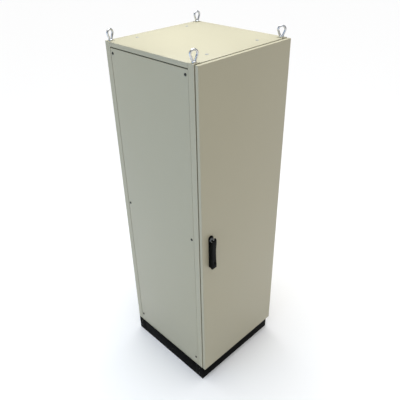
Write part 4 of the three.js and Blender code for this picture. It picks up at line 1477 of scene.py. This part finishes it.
@dataclass
class MainSwitch:
    """The main switch's dial ring, ribs, pole barriers, screws and terminal bolts."""

    step: float = 35.0 * MM
    shelf: float = 45.0 * MM
    sunk: float = 0.5 * MM
    dial_radius: float = 54.0 * MM
    dial_height: float = 2.2 * MM
    knob_clear: float = 44.5 * MM
    mark_half: float = 3.0 * MM
    mark_height: float = 2.6 * MM
    mark_inset: float = 1.0 * MM
    rib_across: Span = (66.0 * MM, 108.0 * MM)
    rib_rise: Span = (-38.0 * MM, -35.0 * MM)
    rib_height: float = 1.6 * MM
    rib_count: int = 10
    rib_pitch: float = 8.0 * MM
    barriers: tuple[float, ...] = (-100 * MM, -20 * MM, 20 * MM, 100 * MM)
    barrier_half: float = 1.5 * MM
    barrier_inset: Span = (4.0 * MM, 1.0 * MM)
    terminal: float = 60.0 * MM
    screw_offset: Span = (112.0 * MM, 62.0 * MM)

    def build(self) -> None:
        """Adds the ring, then the ribs, the barriers and the fixings."""
        self.low, self.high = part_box("main_switch_body")
        self.middle = (self.low.z + self.high.z) / 2
        self._ring()
        self._ribs()
        self._barriers()
        self._fixings()

    def _ring(self) -> None:
        """Turns the ring round the knob, with a pointer block for each of its two positions."""
        face, height = self.low.y + self.sunk, self.dial_height
        seat, start = (0, face, self.middle), (0, face + CLEAR, self.middle)
        ring = round_bar("dial", seat, self.dial_radius, height, Side.FRONT, sides=64)
        depth = height + 2 * CLEAR
        hole = round_bar("hole", start, self.knob_clear, depth, Side.FRONT, sides=64)
        cut_away(ring, hole)
        near, far = self.knob_clear + self.mark_inset, self.dial_radius - self.mark_inset
        away, long, short = (near + far) / 2, (far - near) / 2, self.mark_half
        depth = (self.low.y - self.mark_height, self.low.y)
        top = slab("mark", 0.0, self.middle + away, (short, long), depth)
        side = slab("mark", away, self.middle, (long, short), depth)
        parts = (ring, top, side)
        joined_up("main_switch_dial", parts, Edge.PLAIN, "cabinet", GREY_MOULDING)

    def _ribs(self) -> None:
        """Adds two groups of level ribs on the face, beside the dial."""
        front, back = self.low.y - self.rib_height, self.low.y + self.sunk
        foot, top = (self.middle + rise for rise in self.rib_rise)
        groups = []
        for sign in (-1, 1):
            left, right = sorted(sign * across for across in self.rib_across)
            rib = block("rib", (left, front, foot), (right, back, top))
            repeat(rib, self.rib_count, (0, 0, self.rib_pitch))
            groups.append(rib)
        joined_up("main_switch_ribs", groups, Edge.EASED, "cabinet", DARK_MOULDING)

    def _barriers(self) -> None:
        """Stands barriers between the terminals on both shelves."""
        inset, end = self.barrier_inset
        depth = (self.low.y + inset, self.low.y + self.step + self.sunk)
        half = (self.barrier_half, self.shelf / 2 - end)
        walls = [
            slab("barrier", x, base + self.shelf / 2, half, depth)
            for x in self.barriers
            for base in (self.low.z, self.high.z - self.shelf)
        ]
        name = "main_switch_barriers"
        joined_up(name, walls, Edge.EASED, "cabinet", DARK_MOULDING)

    def _fixings(self) -> None:
        """Puts a bolt in each terminal and a screw in each corner of the face."""
        seat = self.low.y + self.step
        bolts = [
            (x, seat, z)
            for x in (-self.terminal, self.terminal)
            for z in (self.low.z + self.shelf / 2, self.high.z - self.shelf / 2)
        ]
        fasten(Fixing.HEX_BOLT, "main_switch_bolts", bolts, Side.FRONT)
        across, rise = self.screw_offset
        corners = [
            (x, self.low.y, self.middle + z) for x in (-across, across) for z in (-rise, rise)
        ]
        fasten(Fixing.SMALL_SCREW, "main_switch_screws", corners, Side.FRONT)


@dataclass
class MainKnob:
    """The main switch's red knob: a dial with a bar grip across it."""

    radius: float = 42.0 * MM
    dial_depth: float = 12.0 * MM
    dial_round: float = 2.0 * MM
    grip_half: Span = (9.0 * MM, 40.0 * MM)
    grip_sunk: float = 0.5 * MM

    def build(self) -> None:
        """Turns the dial, shapes the grip and joins them."""
        low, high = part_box("main_switch_knob")
        middle = (low.z + high.z) / 2
        start, front = (0, high.y, middle), high.y - self.dial_depth
        dial = round_bar("dial", start, self.radius, self.dial_depth, Side.FRONT, sides=64)
        bevel_edges(dial, at_plane(1, front), self.dial_round, 4)
        grip = slab("grip", 0.0, middle, self.grip_half, (low.y, front + self.grip_sunk))
        soften(grip, Edge.ROUNDED)
        knob = weld("main_knob_grip", dial, grip)
        smooth(knob)
        hand_over(knob, "main_knob", RED_MOULDING, ["main_switch_knob"])


@dataclass
class SurgeArrester:
    """The surge arrester's status windows, terminal screws and end stops."""

    window_half: Span = (3.5 * MM, 3.0 * MM)
    window_drop: float = 9.0 * MM
    window_depth: Span = (-0.4 * MM, 0.5 * MM)
    terminal_inset: float = 10.0 * MM
    stop_width: float = 10.0 * MM
    stop_gap: float = 0.5 * MM
    stop_depth: Span = (-18.0 * MM, -0.2 * MM)
    stop_lap: float = 5.0 * MM

    def build(self) -> None:
        """Adds a window and two terminals for each cartridge, and the stops on the rail."""
        base_low, base_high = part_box("surge_base")
        points = []
        for number in (1, 2, 3):
            low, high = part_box(f"surge_cartridge_{number}")
            x = (low.x + high.x) / 2
            near, far = self.window_depth
            depth = (low.y + near, low.y + far)
            name = f"surge_window_{number}"
            window = slab(name, x, high.z - self.window_drop, self.window_half, depth)
            soften(window, Edge.FINE)
            hand_over(window, f"surge_plug_{number}", GREEN_WINDOW)
            for end in (base_low.z + self.terminal_inset, base_high.z - self.terminal_inset):
                points.append((x, base_low.y, end))
        fasten(Fixing.SMALL_SCREW, "surge_terminals", points, Side.FRONT)
        self._stops(base_low.x, base_high.x)

    def _stops(self, left: float, right: float) -> None:
        """Clamps an end stop on the rail at each side of the base.

        Args:
            left: Where the base starts.
            right: Where it ends.
        """
        low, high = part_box("mounting_rail")
        front, back = (low.y + depth for depth in self.stop_depth)
        stops = [
            block(
                "stop",
                (x, front, low.z - self.stop_lap),
                (x + self.stop_width, back, high.z + self.stop_lap),
            )
            for x in (left - self.stop_gap - self.stop_width, right + self.stop_gap)
        ]
        joined_up("rail_end_stops", stops, Edge.MOULDED, "cabinet", GREY_MOULDING)


@dataclass
class CableDuct:
    """A slotted duct on the plate: a back strip, two walls of fingers and a snap-on cover."""

    name: str
    low: Point
    high: Point
    along: int
    wall: float = 1.5 * MM
    pitch: float = 12.0 * MM
    finger: float = 7.5 * MM

    def build(self) -> None:
        """Makes the strip and the cover, and repeats one finger down each wall."""
        across = 2 - self.along
        low, high = Vector(self.low), Vector(self.high)
        strip = block("strip", (low.x, high.y - self.wall, low.z), high)
        cover = block("cover", low, (high.x, low.y + 2 * self.wall, high.z))
        walls = []
        count = int((high[self.along] - low[self.along] - self.finger) / self.pitch) + 1
        step = [0.0, 0.0, 0.0]
        step[self.along] = self.pitch
        for edge in (low[across] + self.wall, high[across] - 2 * self.wall):
            finger_low, finger_high = low.copy(), high.copy()
            finger_low.y += self.wall
            finger_high.y -= self.wall / 2
            finger_low[across] = edge
            finger_high[across] = edge + self.wall
            finger_high[self.along] = low[self.along] + self.finger
            finger = block("finger", finger_low, finger_high)
            repeat(finger, count, step)
            walls.append(finger)
        parts = (cover, strip, *walls)
        joined_up(self.name, parts, Edge.FINGER, "cabinet", DUCT_GREY)


@dataclass
class PlateFittings:
    """The ducts, the plate's bolts, the rail's screws and the earth bar's bolts."""

    duct_depth: Span = (-50.0 * MM, -0.2 * MM)
    upright_width: float = 20.0 * MM
    upright_inset: float = 1.0 * MM
    upright_ends: float = 35.0 * MM
    level_reach: float = 215.0 * MM
    level_width: float = 40.0 * MM
    below_switches: float = 100.0 * MM
    above_main: float = 20.0 * MM
    bolt_inset: float = 14.0 * MM
    rail_web: float = 1.0 * MM
    rail_screws: Span = (-100.0 * MM, 200.0 * MM)
    rail_count: int = 4
    earth_inset: float = 20.0 * MM
    earth_count: int = 11

    def build(self) -> None:
        """Fits the ducts, then the bolts and screws."""
        self.low, self.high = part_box("mounting_plate")
        self._ducts()
        inset = self.bolt_inset
        corners = [
            (x, self.low.y, z)
            for x in (self.low.x + inset, 0.0, self.high.x - inset)
            for z in (self.low.z + inset, self.high.z - inset)
        ]
        fasten(Fixing.HEX_BOLT, "plate_bolts", corners, Side.FRONT)
        low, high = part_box("mounting_rail")
        web = (high.y - self.rail_web, (low.z + high.z) / 2)
        points = [(x, *web) for x in spread(*self.rail_screws, self.rail_count)]
        fasten(Fixing.SMALL_SCREW, "rail_screws", points, Side.FRONT)
        low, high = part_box("earth_bar")
        middle = (low.z + high.z) / 2
        ends = (low.x + self.earth_inset, high.x - self.earth_inset)
        points = [(x, low.y, middle) for x in spread(*ends, self.earth_count)]
        fasten(Fixing.HEX_BOLT, "earth_bar_bolts", points, Side.FRONT)

    def _ducts(self) -> None:
        """Runs a duct up each side of the plate, and one below and one above the switches."""
        front, back = (self.low.y + depth for depth in self.duct_depth)
        foot, top = self.low.z + self.upright_ends, self.high.z - self.upright_ends
        left = self.low.x + self.upright_inset
        right = self.high.x - self.upright_inset - self.upright_width
        for name, x in (("left", left), ("right", right)):
            low, high = (x, front, foot), (x + self.upright_width, back, top)
            CableDuct("cable_duct_" + name, low, high, along=2).build()
        base_low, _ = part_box("fuse_switch_base_1")
        _, main_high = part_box("main_switch_body")
        lower, upper = base_low.z - self.below_switches, main_high.z + self.above_main
        for name, z in (("lower", lower), ("upper", upper)):
            low = (-self.level_reach, front, z)
            high = (self.level_reach, back, z + self.level_width)
            CableDuct("cable_duct_" + name, low, high, along=0).build()


# ---------- Studio ----------


@dataclass(frozen=True)
class AreaLight:
    """A soft square light that faces the cabinet. Its power is in watts."""

    name: str
    place: Point
    size: float
    power: float
    color: Point

    def build(self) -> None:
        """Hangs the light at its place."""
        data = bpy.data.lights.new(self.name, "AREA")
        data.size = self.size
        data.energy = self.power
        data.color = self.color
        light = bpy.data.objects.new(self.name, data)
        bpy.context.scene.collection.objects.link(light)
        light.location = self.place
        aim = Vector((0, 0, 1.0)) - Vector(self.place)
        light.rotation_euler = aim.to_track_quat("-Z", "Y").to_euler()


AREA_LIGHTS = (
    AreaLight("left_light", (-3.6, 0.4, 1.8), size=3.0, power=33.0, color=(0.16, 0.52, 1.0)),
    AreaLight("front_light", (0.6, -4.2, 1.4), size=2.8, power=4.0, color=(1.0, 0.64, 0.04)),
    AreaLight("roof_light", (0.1, 0.2, 3.0), size=0.9, power=19.0, color=(0.96, 0.99, 1.0)),
)


@dataclass
class Studio:
    """The floor, the lights and the camera. The sun's strength is in watts per square metre."""

    lens: float = 41.6
    sensor: float = 36.0
    view_end: float = 200.0
    camera_place: Point = (-1.535, -1.584, 2.406)
    camera_turn: Point = (57.94, 1.22, -44.42)
    floor_radius: float = 40.0
    floor_shade: float = 0.93
    floor_roughness: float = 0.9
    world_strength: float = 0.36
    sun_strength: float = 2.25
    sun_spread: float = 60.0

    def build(self) -> None:
        """Sets the floor, the lights and the camera."""
        self._camera()
        self._floor()
        self._world()
        self._sun()
        for light in AREA_LIGHTS:
            light.build()
        scene = bpy.context.scene
        scene.view_settings.view_transform = "Standard"
        scene.view_settings.look = "None"

    def _camera(self) -> None:
        """Adds the camera."""
        data = bpy.data.cameras.new("camera")
        data.lens = self.lens
        data.sensor_width = self.sensor
        data.clip_end = self.view_end
        camera = bpy.data.objects.new("camera", data)
        bpy.context.scene.collection.objects.link(camera)
        camera.location = self.camera_place
        camera.rotation_euler = [math.radians(a) for a in self.camera_turn]
        bpy.context.scene.camera = camera

    def _floor(self) -> None:
        """Adds the pale floor."""
        bpy.ops.object.select_all(action="DESELECT")
        bpy.ops.mesh.primitive_circle_add(
            vertices=96, radius=self.floor_radius, fill_type="NGON", location=(0, 0, 0)
        )
        floor = bpy.context.object
        floor.name = "studio_floor"
        material = bpy.data.materials.new("pale_floor")
        material.use_nodes = True
        shader = material.node_tree.nodes["Principled BSDF"]
        shade = self.floor_shade
        shader.inputs["Base Color"].default_value = (shade, shade, shade, 1.0)
        shader.inputs["Roughness"].default_value = self.floor_roughness
        floor.data.materials.append(material)

    def _world(self) -> None:
        """Sets the even pale light from all round."""
        world = bpy.data.worlds.new("studio")
        world.use_nodes = True
        background = world.node_tree.nodes["Background"]
        background.inputs["Color"].default_value = (1.0, 1.0, 1.0, 1.0)
        background.inputs["Strength"].default_value = self.world_strength
        bpy.context.scene.world = world

    def _sun(self) -> None:
        """Adds an even light from straight above."""
        data = bpy.data.lights.new("top_light", "SUN")
        data.energy = self.sun_strength
        data.angle = math.radians(self.sun_spread)
        light = bpy.data.objects.new("top_light", data)
        bpy.context.scene.collection.objects.link(light)


# ---------- The nodes that are shown as they are ----------


def dress_nodes() -> None:
    """Gives each shown node its finish, and breaks its edges with live modifiers."""
    slots = {row["node"]: row["material_slot"] for row in frame["record"]["subparts"]}
    for name, node in frame["nodes"].items():
        if node.hide_render:
            continue
        PAINTS.put(node, FINISH_OF_SLOT[slots[name]])
        weld_step = node.modifiers.new("weld", "WELD")
        weld_step.merge_threshold = NODE_DOUBLES
        planes = node.modifiers.new("planes", "DECIMATE")
        planes.decimate_type = "DISSOLVE"
        planes.angle_limit = FLAT
        edges = node.modifiers.new("edges", "BEVEL")
        edges.width, edges.segments = Edge.PLAIN.value
        edges.limit_method = "ANGLE"
        edges.angle_limit = SHARP
        log.info("%s keeps its solid, finished in %s", name, slots[name])


# ---------- The whole cabinet ----------

PANELS = {"side_panel_left": Side.LEFT, "side_panel_right": Side.RIGHT, "rear_panel": Side.REAR}
EYE_YAWS = {"front_left": -0.25, "front_right": -0.8, "rear_left": 0.18, "rear_right": -0.1}


def main() -> None:
    """Builds the cabinet's sub-assemblies in order."""
    logging.basicConfig(level=logging.INFO, format="%(name)s: %(message)s")
    Studio().build()
    for node, side in PANELS.items():
        PanelSheet(node, side).build()
    Roof().build()
    Plinth().build()
    for corner, yaw in EYE_YAWS.items():
        LiftingEye(corner, yaw).build()
    for assembly in (DoorSheet, SwingHandle, DoorStiffener, LockScrews, HingeScrews):
        assembly().build()
    for number in (1, 2, 3):
        FuseSwitch(number).build()
    for assembly in (CopperBolts, MainSwitch, MainKnob, SurgeArrester, PlateFittings):
        assembly().build()
    HARDWARE.clear()
    dress_nodes()


if __name__ == "__main__":
    main()
